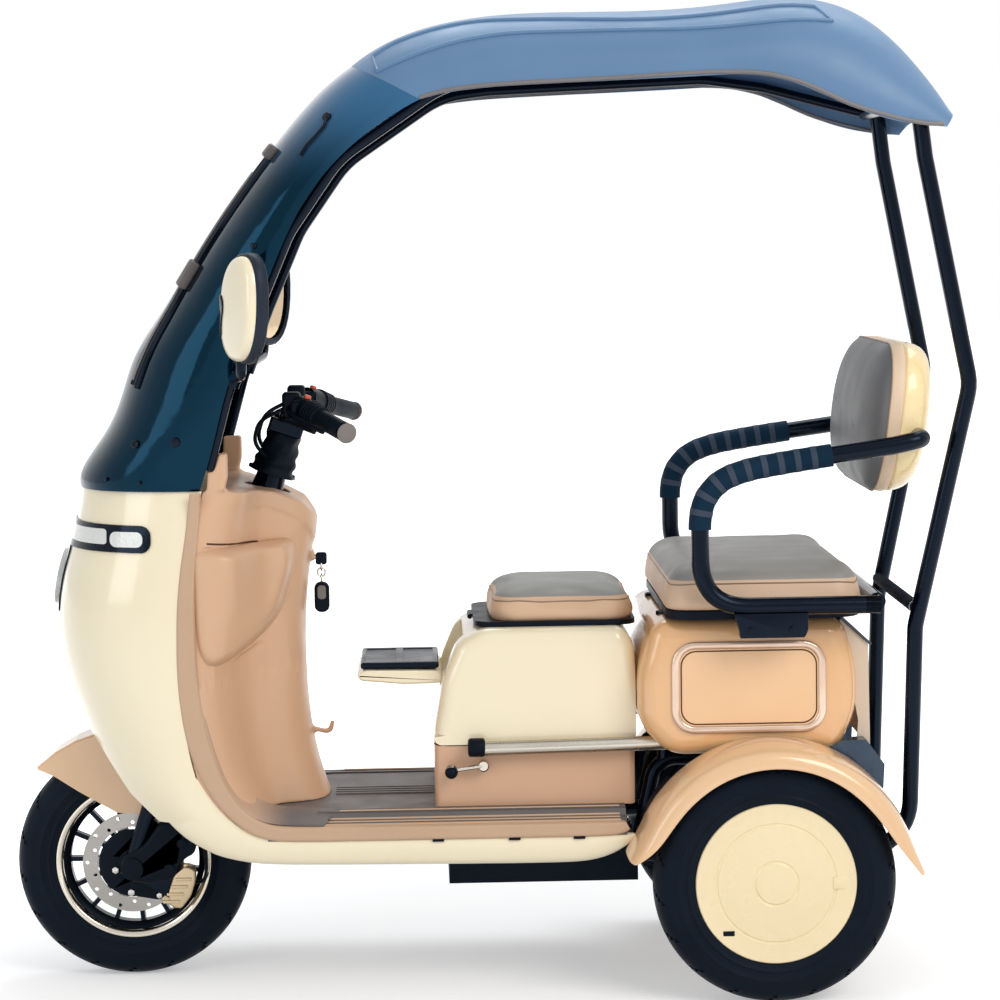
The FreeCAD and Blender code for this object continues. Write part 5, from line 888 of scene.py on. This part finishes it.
tray_outline = [(0.0785, 0.5330), (0.0785, 0.5480), (0.090, 0.5540), (0.216, 0.5560), (0.2300, 0.5480),
                (0.222, 0.5380), (0.150, 0.5310), (0.100, 0.5310)]
tray = slab(tray_outline, -0.1115, 0.1115, 0.004, 0.005)
keep(smooth(tray, 40), "child_tray", "child_seat", cream, ["child_seat_deck"])
child_black = surface("child_black", (6, 10, 20), (14, 17, 26), (0.2, 0.35), (500, 0.0002), gloss=0.3,
                      shine=night)
pad = block((0.0841, -0.098, 0.5565), (0.2224, 0.098, 0.5685), 0.005, 4)
panel_half, panel_z = 0.082, 0.5665
for rear, front in ((0.160, 0.214), (0.094, 0.148)):
    low, high = (rear, -panel_half, panel_z), (front, panel_half, 0.575)
    cut_out(pad, block(low, high, 0.002))
keep(smooth(pad, 40), "child_pad", "child_seat", child_black,
     ["child_seat_pad"])

# Cushions
# Foam blocks under stretched vinyl: the saddle and the bench with grey tops
# over tan side panels, and the backrest grey in front with a beige border.


def panelled(name, top, side, low, high, axis, lean=0.0):
    """Vinyl cut in two colours, which meet at the seam between low and high along one axis."""
    finish = surface(name, top, tuple(c - 9 for c in top), (0.42, 0.56), (420, 0.00025))
    return run_into(finish, side, low, high, axis, False, lean)


def stuffed(node, rest, pressure, most, voxel=0.006):
    """A foam block's cover blown up by its stuffing, and held where rest says that it lies on something."""
    piece = bpy.data.objects.new("cushion", nodes[node].data.copy())
    bpy.context.scene.collection.objects.link(piece)
    piece.data.materials.clear()
    face_outwards(piece, 0.0001)
    work(piece, "REMESH", mode="VOXEL", voxel_size=voxel, use_smooth_shade=True)
    before = [v.co.copy() for v in piece.data.vertices]
    held = piece.vertex_groups.new(name="held")
    held.add([v.index for v in piece.data.vertices if rest(v.co)], 1, "REPLACE")
    take_up(piece)
    cloth = piece.modifiers.new("cloth", "CLOTH")
    cloth.settings.use_pressure = True
    cloth.settings.uniform_pressure_force = pressure
    cloth.settings.vertex_group_mass = "held"
    cloth.settings.quality = 5
    cloth.settings.effector_weights.gravity = 0
    cloth.collision_settings.use_collision = False
    for step in range(1, 21):
        bpy.context.scene.frame_set(step)
    bpy.ops.object.modifier_apply(modifier="cloth")
    bpy.context.scene.frame_set(1)
    for vertex, start in zip(piece.data.vertices, before):
        moved = vertex.co - start
        if moved.length > most:
            vertex.co = start + moved.normalized() * most
    work(piece, "SMOOTH", factor=0.5, iterations=12)
    work(piece, "SUBSURF", levels=1, render_levels=1)
    return smooth(piece, 180)


def sewn(cushion, places, radius=0.0013, ring=True):
    """A row of places drawn onto a cushion's skin, as the welt cord of a seam."""
    found = []
    for place in places:
        hit, spot, normal, face = cushion.closest_point_on_mesh(Vector(place))
        found.append(spot + normal * radius * 0.2)
    return tube(found, radius, 2, ring)


def loop(x0, x1, half, z, corner, steps=7):
    """A level rounded rectangle of places."""
    places = []
    for cx, cy, start in ((x1 - corner, half - corner, 0), (x0 + corner, half - corner, 90),
                          (x0 + corner, -half + corner, 180), (x1 - corner, -half + corner, 270)):
        for step in range(steps + 1):
            turn = math.radians(start + 90 * step / steps)
            places.append((cx + corner * math.cos(turn), cy + corner * math.sin(turn), z))
    dense = []
    for here, after in zip(places, places[1:] + places[:1]):
        count = max(1, int((Vector(after) - Vector(here)).length / 0.012))
        for step in range(count):
            dense.append(tuple(Vector(here).lerp(Vector(after), step / count)))
    return dense


saddle_seam, bench_seam = 0.6845, 0.7230
saddle_vinyl = panelled("saddle_vinyl", (146, 145, 141), (212, 176, 145), saddle_seam - 0.0007,
                        saddle_seam + 0.0007, "Z")
saddle = stuffed("saddle_cushion", lambda p: p.z < 0.652, 4.0, 0.007)
for vertex in saddle.data.vertices:
    vertex.co += Vector((-0.002, 0, -0.005))
keep(saddle, "saddle_pad", "saddle", saddle_vinyl, ["saddle_cushion"])
welt_tan = surface("welt_tan", (150, 124, 102), (136, 112, 92), (0.4, 0.5), (400, 0.0001))
saddle_welt = sewn(saddle, loop(-0.264, -0.002, 0.146, saddle_seam, 0.045))
keep(saddle_welt, "saddle_welt", "saddle", welt_tan)
dress(black_satin, "saddle_pan")

bench_vinyl = panelled("bench_vinyl", (146, 143, 139), (214, 182, 154), bench_seam - 0.0008,
                       bench_seam + 0.0008, "Z")
bench = stuffed("bench_cushion", lambda p: p.z < 0.680, 4.0, 0.009, 0.007)
keep(bench, "bench_pad", "chassis", bench_vinyl, ["bench_cushion"])
bench_welt = sewn(bench, loop(-0.655, -0.297, 0.273, bench_seam, 0.040))
keep(bench_welt, "bench_welt", "chassis", welt_tan)
dress(black_satin, "bench_pan")
back_half_wide, back_half_high, back_corner = 0.2570, 0.1290, 0.098
back_seam_x, back_z, back_lean = -0.7050, 0.9930, 0.120
back_seam_from, back_seam_to = -0.6892, -0.6880


def backrest_ring(inset, depth):
    """One round of the backrest: a rounded rectangle set in from its widest, depth ahead of its seam."""
    wide, high = back_half_wide - inset, back_half_high - inset
    turn_in = min(max(back_corner - inset * 0.6, 0.004), wide * 0.999, high * 0.999)
    ring = []
    for cy, cz, start in ((1, 1, 0), (-1, 1, 90), (-1, -1, 180), (1, -1, 270)):
        for step in range(9):
            turn = math.radians(start + 90 * step / 8)
            y = cy * (wide - turn_in) + turn_in * math.cos(turn)
            z = cz * (high - turn_in) + turn_in * math.sin(turn)
            ring.append(Vector((back_seam_x + depth - back_lean * z, y, back_z + z)))
    full = []
    for index, (here, after) in enumerate(zip(ring, ring[1:] + ring[:1])):
        full.append(here)
        if index % 9 == 8:
            full += [here.lerp(after, share / 8) for share in range(1, 8)]
    return full


def backrest_rounds(table):
    """A closed form through rounds of the backrest, each given by its inset and depth."""
    return work(skin([backrest_ring(inset, depth) for inset, depth in table], round_rows=True, capped=True),
                "SUBSURF", levels=1, render_levels=1)


# each round of the pad from its back to the crown of its face: inset and depth
pad_rounds = [
    (0.010, -0.0100), (0.003, -0.0095), (0.0, -0.006), (-0.0012, 0.0), (0.0, 0.010), (0.0014, 0.0155),
    (0.0012, 0.0165), (0.004, 0.0210), (0.010, 0.0285), (0.022, 0.0370), (0.040, 0.0450), (0.064, 0.0510),
    (0.094, 0.0545), (0.126, 0.0555),
]
back_vinyl = panelled("back_vinyl", (108, 108, 109), (226, 200, 172), back_seam_from + back_lean * back_z,
                      back_seam_to + back_lean * back_z, "X", back_lean)
back = backrest_rounds(pad_rounds)
keep(smooth(back, 60), "backrest_pad", "chassis", back_vinyl,
     ["backrest_cushion"])
keep(tube(backrest_ring(0.0006, 0.0160), 0.0012, 2, True), "backrest_welt", "chassis", welt_tan)
straw = surface("straw", (248, 214, 150), (252, 236, 190), (0.2, 0.32), (18, 0.0012), coat=0.4, patch_size=9)
shell_rounds = [
    (0.012, -0.0060), (0.0, -0.0075), (-0.0008, -0.0110), (0.001, -0.0240), (0.006, -0.0380),
    (0.016, -0.0500), (0.032, -0.0580), (0.056, -0.0620), (0.090, -0.0635), (0.126, -0.0640),
]
back_shell = backrest_rounds(shell_rounds)
keep(smooth(back_shell, 60), "backrest_shell_skin", "chassis", straw, ["backrest_shell"])

# Rear body
# An amber lacquered housing between the rear wheels, each side with a bare
# plate in a bright frame, and the beige trunk behind it.

amber = surface("amber", (237, 187, 133), (230, 177, 123), (0.12, 0.22), (30, 0.0003), coat=0.6)
housing_outline = [
    (-0.2860, 0.6525), (-0.6130, 0.6525), (-0.6380, 0.5700), (-0.6385, 0.4900), (-0.6050, 0.4150),
    (-0.3120, 0.4150), (-0.2600, 0.4700), (-0.2600, 0.5600),
]
housing = slab(housing_outline, -0.2395, 0.2395, 0.026, 0.030)
keep(smooth(housing, 34), "housing_skin", "chassis", amber, ["rear_housing"])
plate_tan = surface("plate_tan", (248, 206, 162), (242, 198, 154), (0.3, 0.42), (300, 0.00015))
plate_y, plate_z = 0.2425, 0.5355
plate_outline = [(-0.3200, 0.6110), (-0.5780, 0.6110), (-0.5780, 0.4600), (-0.3200, 0.4600)]
plates = slab(plate_outline, 0.2380, plate_y, 0.034, 0.0)
keep(smooth(both_sides(plates), 34), "plate_faces", "chassis", plate_tan, ["side_plates"])
bright = surface("plate_frame", (236, 214, 196), (176, 144, 122), (0.14, 0.24), (200, 0.0001), metal=0.6,
                 patch_size=9)
frame_route = loop(-0.5760, -0.3220, 0.0735, 0.0, 0.034)
frames = tube([(x, 0.2430, plate_z + y) for x, y, z in frame_route], 0.0066, 4, True)
for vertex in frames.data.vertices:
    vertex.co.y = plate_y + (vertex.co.y - 0.2430) * 0.5
keep(both_sides(frames), "plate_frames", "chassis", bright)
groove_route = loop(-0.5660, -0.3320, 0.0635, 0.0, 0.026)
grooves = tube([(x, 0.2426, plate_z + y) for x, y, z in groove_route], 0.0012, 2, True)
keep(both_sides(grooves), "plate_lines", "chassis", slot_shadow)
beige = surface("beige", (226, 206, 186), (214, 194, 172), (0.28, 0.4), (300, 0.00015))
dress(beige, "rear_trunk")
slate = surface("slate", (52, 56, 64), (40, 44, 52), (0.3, 0.44), (500, 0.0002))
dress(slate, "tail_cap")

# Arm rests
# A black steel hoop on each side runs from the backrest round an elbow and
# under the bench, and its upper part is wrapped in foam with banded ribs.

arm_y, under_z, hoop_front, hoop_rear = 0.301, 0.683, -0.361, -0.668
hoop_radius, foam_radius, band_radius = 0.0155, 0.0196, 0.0201
# centre line of the hoop from the backrest to the elbow and down
hoop_sides = [
    (-0.733, 0.300, 0.962), (-0.666, arm_y, 0.950), (-0.564, arm_y, 0.936), (-0.497, arm_y, 0.926),
    (-0.440, arm_y, 0.915), (-0.398, arm_y, 0.898), (-0.372, arm_y, 0.870), (-0.362, arm_y, 0.836),
    (hoop_front, arm_y, 0.800),
]


def spun(places, count):
    """Places spaced along a smooth line through the given ones."""
    found = []
    last = len(places) - 1
    for step in range(count + 1):
        far = last * step / count
        at = min(int(far), last - 1)
        share = far - at
        four = [Vector(places[min(max(at + k, 0), last)]) for k in (-1, 0, 1, 2)]
        found.append(0.5 * (2 * four[1] + (four[2] - four[0]) * share
                            + (2 * four[0] - 5 * four[1] + 4 * four[2] - four[3]) * share ** 2
                            + (3 * four[1] - four[0] - 3 * four[2] + four[3]) * share ** 3))
    return found


hoop_foot = (hoop_rear, 0.262, under_z)
foot_run = rounded([hoop_sides[-1], (hoop_front, arm_y, under_z), (hoop_rear, arm_y, under_z)], 0.085, 14)
foot_run += rounded([(-0.640, arm_y, under_z), (hoop_rear, arm_y, under_z), hoop_foot], 0.026, 8)[1:]
end_run = rounded([(-0.742, 0.243, 0.964), (-0.742, 0.300, 0.964), (-0.690, arm_y, 0.953)], 0.024, 8)
hoop_line = spun(hoop_sides, 60)
hoop_bars = tube(end_run + hoop_line[16:] + foot_run[1:], hoop_radius, 6)
foot_bar = tube([hoop_foot, (hoop_rear, 0.0, under_z)], hoop_radius, 6)
bracket_outline = [(-0.417, 0.672), (-0.543, 0.672), (-0.543, 0.642), (-0.537, 0.630), (-0.427, 0.630),
                   (-0.426, 0.642)]
bracket_out = 0.3150
brackets = slab(bracket_outline, 0.2880, bracket_out, 0.002, 0.0015)
hoops = smooth(both_sides(join([hoop_bars, foot_bar, brackets])))
keep(hoops, "hoop_bars", "chassis", enamel, ["arm_tubes"])
hoop_route = hoop_line[13:-3]
lengths = [0.0]
for here, after in zip(hoop_route, hoop_route[1:]):
    lengths.append(lengths[-1] + (after - here).length)


def hoop_at(far):
    """The place on the hoop's upper run that lies far along it."""
    for start, end, here, after in zip(lengths, lengths[1:], hoop_route, hoop_route[1:]):
        if far <= end:
            return here.lerp(after, (far - start) / (end - start))
    return hoop_route[-1]


def hoop_part(start, end, radius):
    """A sleeve over a stretch of the hoop's upper run."""
    count = max(3, int((end - start) / 0.004))
    return tube([hoop_at(start + (end - start) * step / count) for step in range(count + 1)], radius, 5)


foam = surface("foam", (14, 36, 54), (24, 48, 68), (0.6, 0.8), (700, 0.0004), gloss=0.15, shine=night)
band = surface("band", (56, 68, 84), (70, 78, 92), (0.6, 0.8), (700, 0.0004), gloss=0.15, shine=night)
sleeve = hoop_part(0.004, lengths[-1] - 0.004, foam_radius)
keep(both_sides(sleeve), "arm_foam", "chassis", foam, ["arm_grips"])
bands = []
band_pitch = (lengths[-1] - 0.040) / 9
for step in range(9):
    start = 0.030 + band_pitch * step
    bands.append(hoop_part(start, start + band_pitch * 0.36, band_radius))
keep(both_sides(join(bands)), "arm_bands", "chassis", band)
seat_bolts = bolt_heads([(-0.446, bracket_out, 0.6440), (-0.516, bracket_out, 0.6440)], (0, 1, 0), 0.0066,
                        0.004)
keep(both_sides(seat_bolts), "arm_bolts", "chassis", cast_black)

# Canopy
# A smoked screen and a blue lacquered roof moulding over a tube frame, with a
# grey rubber trim along each rim and two raised loops pressed into the roof.

# the screen's own dark navy smoked tint holds below 1.40 m and runs into a lighter steel blue by 1.58 m; that
# lighter top is a painted reflection of the sky
smoked_with_painted_reflection = surface("smoked_with_painted_reflection", (64, 106, 144), (56, 98, 136), (0.06, 0.14), (14, 0.001), shine=(0.12, 0.5, 0.85))
run_into(smoked_with_painted_reflection, (1, 12, 24), 1.40, 1.58, "Z")
dress(smoked_with_painted_reflection, "windscreen")
steel_blue = surface("steel_blue", (103, 138, 175), (90, 122, 158), (0.34, 0.48), (14, 0.0006), gloss=0.3)
dress(steel_blue, "canopy_roof")

rim_trim = surface("rim_trim", (126, 122, 124), (104, 102, 106), (0.4, 0.5), (300, 0.0001))
# the roof's rim from front to rear: place along the vehicle, height and distance from its middle
roof_rim = [(0.102, 1.547, 0.272), (0.052, 1.559, 0.272), (-0.029, 1.567, 0.272), (-0.218, 1.575, 0.272),
            (-0.425, 1.583, 0.272), (-0.530, 1.568, 0.271), (-0.635, 1.523, 0.268), (-0.734, 1.496, 0.262),
            (-0.785, 1.491, 0.257)]
trim = tube(spun([(x, half - 0.001, z + 0.004) for x, z, half in roof_rim], 60), 0.0042, 3)
keep(both_sides(trim), "roof_trims", "chassis", rim_trim)
# the loop on the roof's shoulder: its lower and its upper run from front to rear
bead_low = [(0.173, 0.242, 1.593), (0.130, 0.247, 1.612), (0.086, 0.246, 1.628), (0.024, 0.243, 1.645),
            (-0.050, 0.240, 1.655), (-0.149, 0.241, 1.657), (-0.261, 0.241, 1.658), (-0.360, 0.245, 1.659),
            (-0.459, 0.246, 1.665), (-0.535, 0.240, 1.672), (-0.600, 0.228, 1.670)]
bead_high = [(0.182, 0.185, 1.622), (0.148, 0.177, 1.643), (0.111, 0.180, 1.657), (0.060, 0.179, 1.671),
             (0.004, 0.182, 1.681), (-0.064, 0.194, 1.681), (-0.139, 0.201, 1.681), (-0.238, 0.208, 1.678),
             (-0.326, 0.210, 1.679), (-0.439, 0.207, 1.690), (-0.515, 0.200, 1.699), (-0.575, 0.196, 1.698)]
bead_route = []
for x, y, z in spun(bead_low, 60) + list(reversed(spun(bead_high, 60))):
    hit, place, normal, face = nodes["canopy_roof"].closest_point_on_mesh(Vector((x, y, z + 0.004)))
    bead_route.append(place + normal * 0.0008)
keep(both_sides(tube(bead_route, 0.0040, 3, True)), "roof_beads", "chassis", steel_blue)

# the wiper lies in a low channel down the near side of the screen, with a block at its head and one half way
channel_line = [(0.360, 0.178, 1.450), (0.405, 0.180, 1.393), (0.440, 0.180, 1.345), (0.478, 0.181, 1.287),
                (0.520, 0.183, 1.211), (0.556, 0.184, 1.149), (0.596, 0.184, 1.067)]
channel_along = Vector((0.62, 0, -0.78))
channel_section = [(0.013, -0.004), (0.0125, 0.0045), (0.009, 0.0062), (0.004, 0.0030), (-0.004, 0.0030),
                   (-0.009, 0.0072), (-0.0125, 0.0055), (-0.013, -0.004)]


def on_screen(x, y, z):
    """The place of the screen that lies behind a place beside it, and the way it faces there."""
    outside = Vector((0.42, 0.36, 0.24))
    start = Vector((x, y, z)) + outside
    hit, place, normal, face = nodes["windscreen"].ray_cast(start, -outside.normalized())
    if not hit:
        hit, place, normal, face = nodes["windscreen"].closest_point_on_mesh(Vector((x, y, z)))
    return place, normal


def off_screen(spot, lift):
    """A place lifted off the screen."""
    place, normal = on_screen(*spot)
    return place + normal * lift


channel_spots = spun(channel_line, 36)
channel_rows = []
for spot in channel_spots:
    place, normal = on_screen(*spot)
    sideways = normal.cross(channel_along).normalized()
    if sideways.y < 0:
        sideways.negate()
    channel_rows.append([place + sideways * across + normal * out for across, out in channel_section])
channel = skin(channel_rows, round_rows=True, capped=True)
keep(smooth(channel, 50), "screen_channel", "chassis", black_gloss, ["screen_wiper"])
wiper_grey = surface("wiper_grey", (104, 96, 94), (80, 76, 78), (0.4, 0.55), (300, 0.0002), gloss=0.3)
blocks = []
for spot, length in (((0.352, 0.178, 1.460), 0.026), ((0.496, 0.182, 1.254), 0.052)):
    place, normal = on_screen(*spot)
    lump = block((-0.5 * length, -0.016, -0.002), (0.5 * length, 0.016, 0.0145), 0.005)
    sideways = normal.cross(channel_along).normalized()
    ahead_line = sideways.cross(normal).normalized()
    for vertex in lump.data.vertices:
        c = vertex.co.copy()
        vertex.co = place + ahead_line * c.x + sideways * c.y + normal * c.z
    blocks.append(face_outwards(lump))
keep(smooth(join(blocks)), "wiper_blocks", "chassis", wiper_grey)
blade = tube([off_screen(spot, 0.0085) for spot in channel_spots[3:-1]], 0.0022, 2)
keep(blade, "wiper_blade", "chassis", rim_trim)

# fixings of the screen on each side: three round knobs, three screws and the arm of a catch
knobs = [(0.258, 0.247, 1.520, 0.0085), (0.596, 0.221, 0.971, 0.0075), (0.527, 0.247, 0.975, 0.0085),
         (0.590, 0.227, 0.905, 0.0035), (0.640, 0.190, 0.905, 0.0035), (0.386, 0.268, 1.306, 0.0055)]
fixings = []
for x, y, z, size in knobs:
    place, normal = on_screen(x, y, z)
    fixings.append(drum(place + normal * 0.002, normal, size, 0.007, 24, 0.002))
catch_line = [(0.258, 0.250, 1.520), (0.262, 0.256, 1.502), (0.278, 0.258, 1.487), (0.293, 0.257, 1.472),
              (0.303, 0.259, 1.456)]
fixings.append(tube([off_screen(spot, 0.004) for spot in catch_line], 0.0026, 2))
keep(both_sides(join(fixings)), "screen_fixings", "chassis", black_gloss)

# Mirrors
# Cream oval shells moulded in one with a dark notch for the joint, on black
# stems, with a dark rim round each glass.

mirror_middle = Vector((0.392, 0.400, 1.204))
mirror_turn = math.radians(32)
ahead = Vector((math.cos(mirror_turn), math.sin(mirror_turn), 0))
across = Vector((-math.sin(mirror_turn), math.cos(mirror_turn), 0))
oval = []
for step in range(28):
    turn = 2 * math.pi * step / 28
    wide = 0.054 * math.copysign(abs(math.cos(turn)) ** 0.82, math.cos(turn))
    high = 0.088 * math.copysign(abs(math.sin(turn)) ** 0.88, math.sin(turn))
    oval.append((wide + 0.010 * math.sin(turn), high))


def oval_row(grow, depth):
    """The mirror's oval at a share of its size, depth ahead of its middle."""
    return [mirror_middle + across * (w * grow) + ahead * depth + Vector((0, 0, h * grow)) for w, h in oval]


# each round of the shell and of the rim: its share of the oval and how far ahead of the middle it lies
shell_shares = [(0.97, 0.002), (1.0, 0.006), (1.0, 0.012), (0.975, 0.019), (0.90, 0.0245), (0.74, 0.028),
                (0.45, 0.0298), (0.12, 0.0300)]
rim_shares = [(0.90, -0.0080), (1.0, -0.0110), (1.045, -0.008), (1.05, 0.002), (1.04, 0.010), (1.0, 0.0125)]
shell_skin = skin([oval_row(grow, depth) for grow, depth in shell_shares], round_rows=True, capped=True)
work(shell_skin, "SUBSURF", levels=1, render_levels=1)
keep(smooth(both_sides(shell_skin), 60), "mirror_shells", "chassis", cream, ["mirror_covers"])
rim_skin = skin([oval_row(grow, depth) for grow, depth in rim_shares], round_rows=True)
mirror_rim = surface("mirror_rim", (44, 50, 60), (34, 38, 46), (0.35, 0.5), (400, 0.0002), gloss=0.3,
                     shine=night)
keep(smooth(both_sides(rim_skin), 60), "mirror_rims", "chassis", mirror_rim)
notch_line = [
    (-0.060, 0.016), (-0.044, 0.026), (-0.032, 0.024), (-0.025, 0.012), (-0.026, -0.004), (-0.034, -0.020),
    (-0.037, -0.036), (-0.040, -0.050), (-0.058, -0.046), (-0.062, -0.016),
]
notch_across, notch_up = -0.044, -0.012
notch_rows = []
for grow, depth in ((1.0, 0.004), (1.0, 0.0302), (0.94, 0.0312), (0.80, 0.0316)):
    row = []
    for w, h in notch_line:
        wide = notch_across + (w - notch_across) * grow
        drop = max(0.0, (abs(wide) - 0.030) / 0.030) ** 2 * 0.012
        up = Vector((0, 0, notch_up + (h - notch_up) * grow))
        row.append(mirror_middle + across * wide + ahead * (depth - drop) + up)
    notch_rows.append(row)
notch = skin(notch_rows, round_rows=True, capped=True)
work(notch, "SUBSURF", levels=2, render_levels=2)
keep(smooth(both_sides(notch), 60), "mirror_joints", "chassis", black_gloss)
silvered = surface("silvered", (222, 200, 168), (206, 182, 150), (0.02, 0.04), (20, 0.00005), metal=1.0)
dress(silvered, "mirror_glasses")

# Handlebar
# Black tube and rubber grips with a ribbed sleeve, a grey disc in each end and
# an orange button on each switch.

dress(rubber, "grips")
dress(black_satin, "bar_controls")
bar_end = Vector((0.240, 0.290, 0.992))
bar_knee = Vector((0.332, 0.104, 1.030))
bar_along = (bar_end - bar_knee).normalized()
steer_axis = Vector((-0.317305, 0, 0.948324))
steer_foot = Vector((0.60945, 0, 0.20012))
steer_side = Vector((0, 1, 0))
steer_ahead = steer_side.cross(steer_axis).normalized()
boot_rounds = [
    (0.905, 0.047), (0.897, 0.049), (0.903, 0.043), (0.912, 0.038), (0.918, 0.043), (0.925, 0.041),
    (0.932, 0.034), (0.940, 0.039), (0.948, 0.037), (0.956, 0.031), (0.964, 0.036), (0.972, 0.035),
    (0.982, 0.030), (0.994, 0.033), (1.004, 0.027),
]
boot_rows = []
for height, radius in boot_rounds:
    middle = steer_foot + steer_axis * ((height - steer_foot.z) / steer_axis.z)
    ring = []
    for step in range(36):
        turn = 2 * math.pi * step / 36
        out = radius * (1 + 0.05 * math.sin(5 * turn + height * 90))
        ring.append(middle + steer_side * out * math.cos(turn) + steer_ahead * out * 0.9 * math.sin(turn))
    boot_rows.append(ring)
boot = skin(boot_rows, round_rows=True)
work(boot, "SUBSURF", levels=1, render_levels=1)
keep(smooth(boot, 80), "steering_boot", "steering", rubber)
lever_ahead = Vector((0.9, 0.44, -0.2)).normalized()
lever_steps = ((0.020, 0.018), (0.050, 0.031), (0.120, 0.032), (0.185, 0.027))
clutter = []
for side in (1, -1):
    clutter.append(block((0.296, side * 0.146 - 0.020, 0.998), (0.334, side * 0.146 + 0.020, 1.038), 0.007))
    clutter.append(block((0.318, side * 0.112 - 0.018, 1.008), (0.350, side * 0.112 + 0.018, 1.050), 0.006))
    lever = [bar_knee + bar_along * far + lever_ahead * off for far, off in lever_steps]
    lever = [(place.x, side * place.y, place.z) for place in lever]
    clutter.append(tube(rounded(lever, 0.026), 0.0048, 3))
    cable = [(0.350, side * 0.112, 1.020), (0.392, side * 0.100, 1.000), (0.404, side * 0.066, 0.960),
             (0.384, side * 0.030, 0.930)]
    clutter.append(tube(rounded(cable, 0.022), 0.0036, 3))
keep(smooth(join(clutter)), "bar_fittings", "steering", axle_black)
sleeve_ribs = []
for step in range(5):
    rib_middle = bar_knee + bar_along * (0.080 + 0.009 * step)
    sleeve_ribs.append(drum(rib_middle, bar_along, 0.0235 - 0.0008 * step, 0.0055, 32, 0.001))
keep(both_sides(smooth(join(sleeve_ribs))), "grip_sleeves", "steering", rubber)
grey_end = surface("grey_end", (128, 120, 116), (110, 104, 100), (0.4, 0.5), (300, 0.0002))
ends = drum(bar_end + bar_along * 0.0135, bar_along, 0.0175, 0.004, 32, 0.001)
keep(both_sides(ends), "bar_ends", "steering", grey_end)
orange = surface("orange", (236, 110, 78), (220, 96, 64), (0.3, 0.4), (200, 0.0001))
button_place = bar_knee + bar_along * 0.050 + Vector((-0.006, 0.004, 0.022))
buttons = drum(button_place, (-0.3, 0.2, 1), 0.0062, 0.006, 20, 0.0015)
keep(both_sides(buttons), "bar_buttons", "steering", orange)
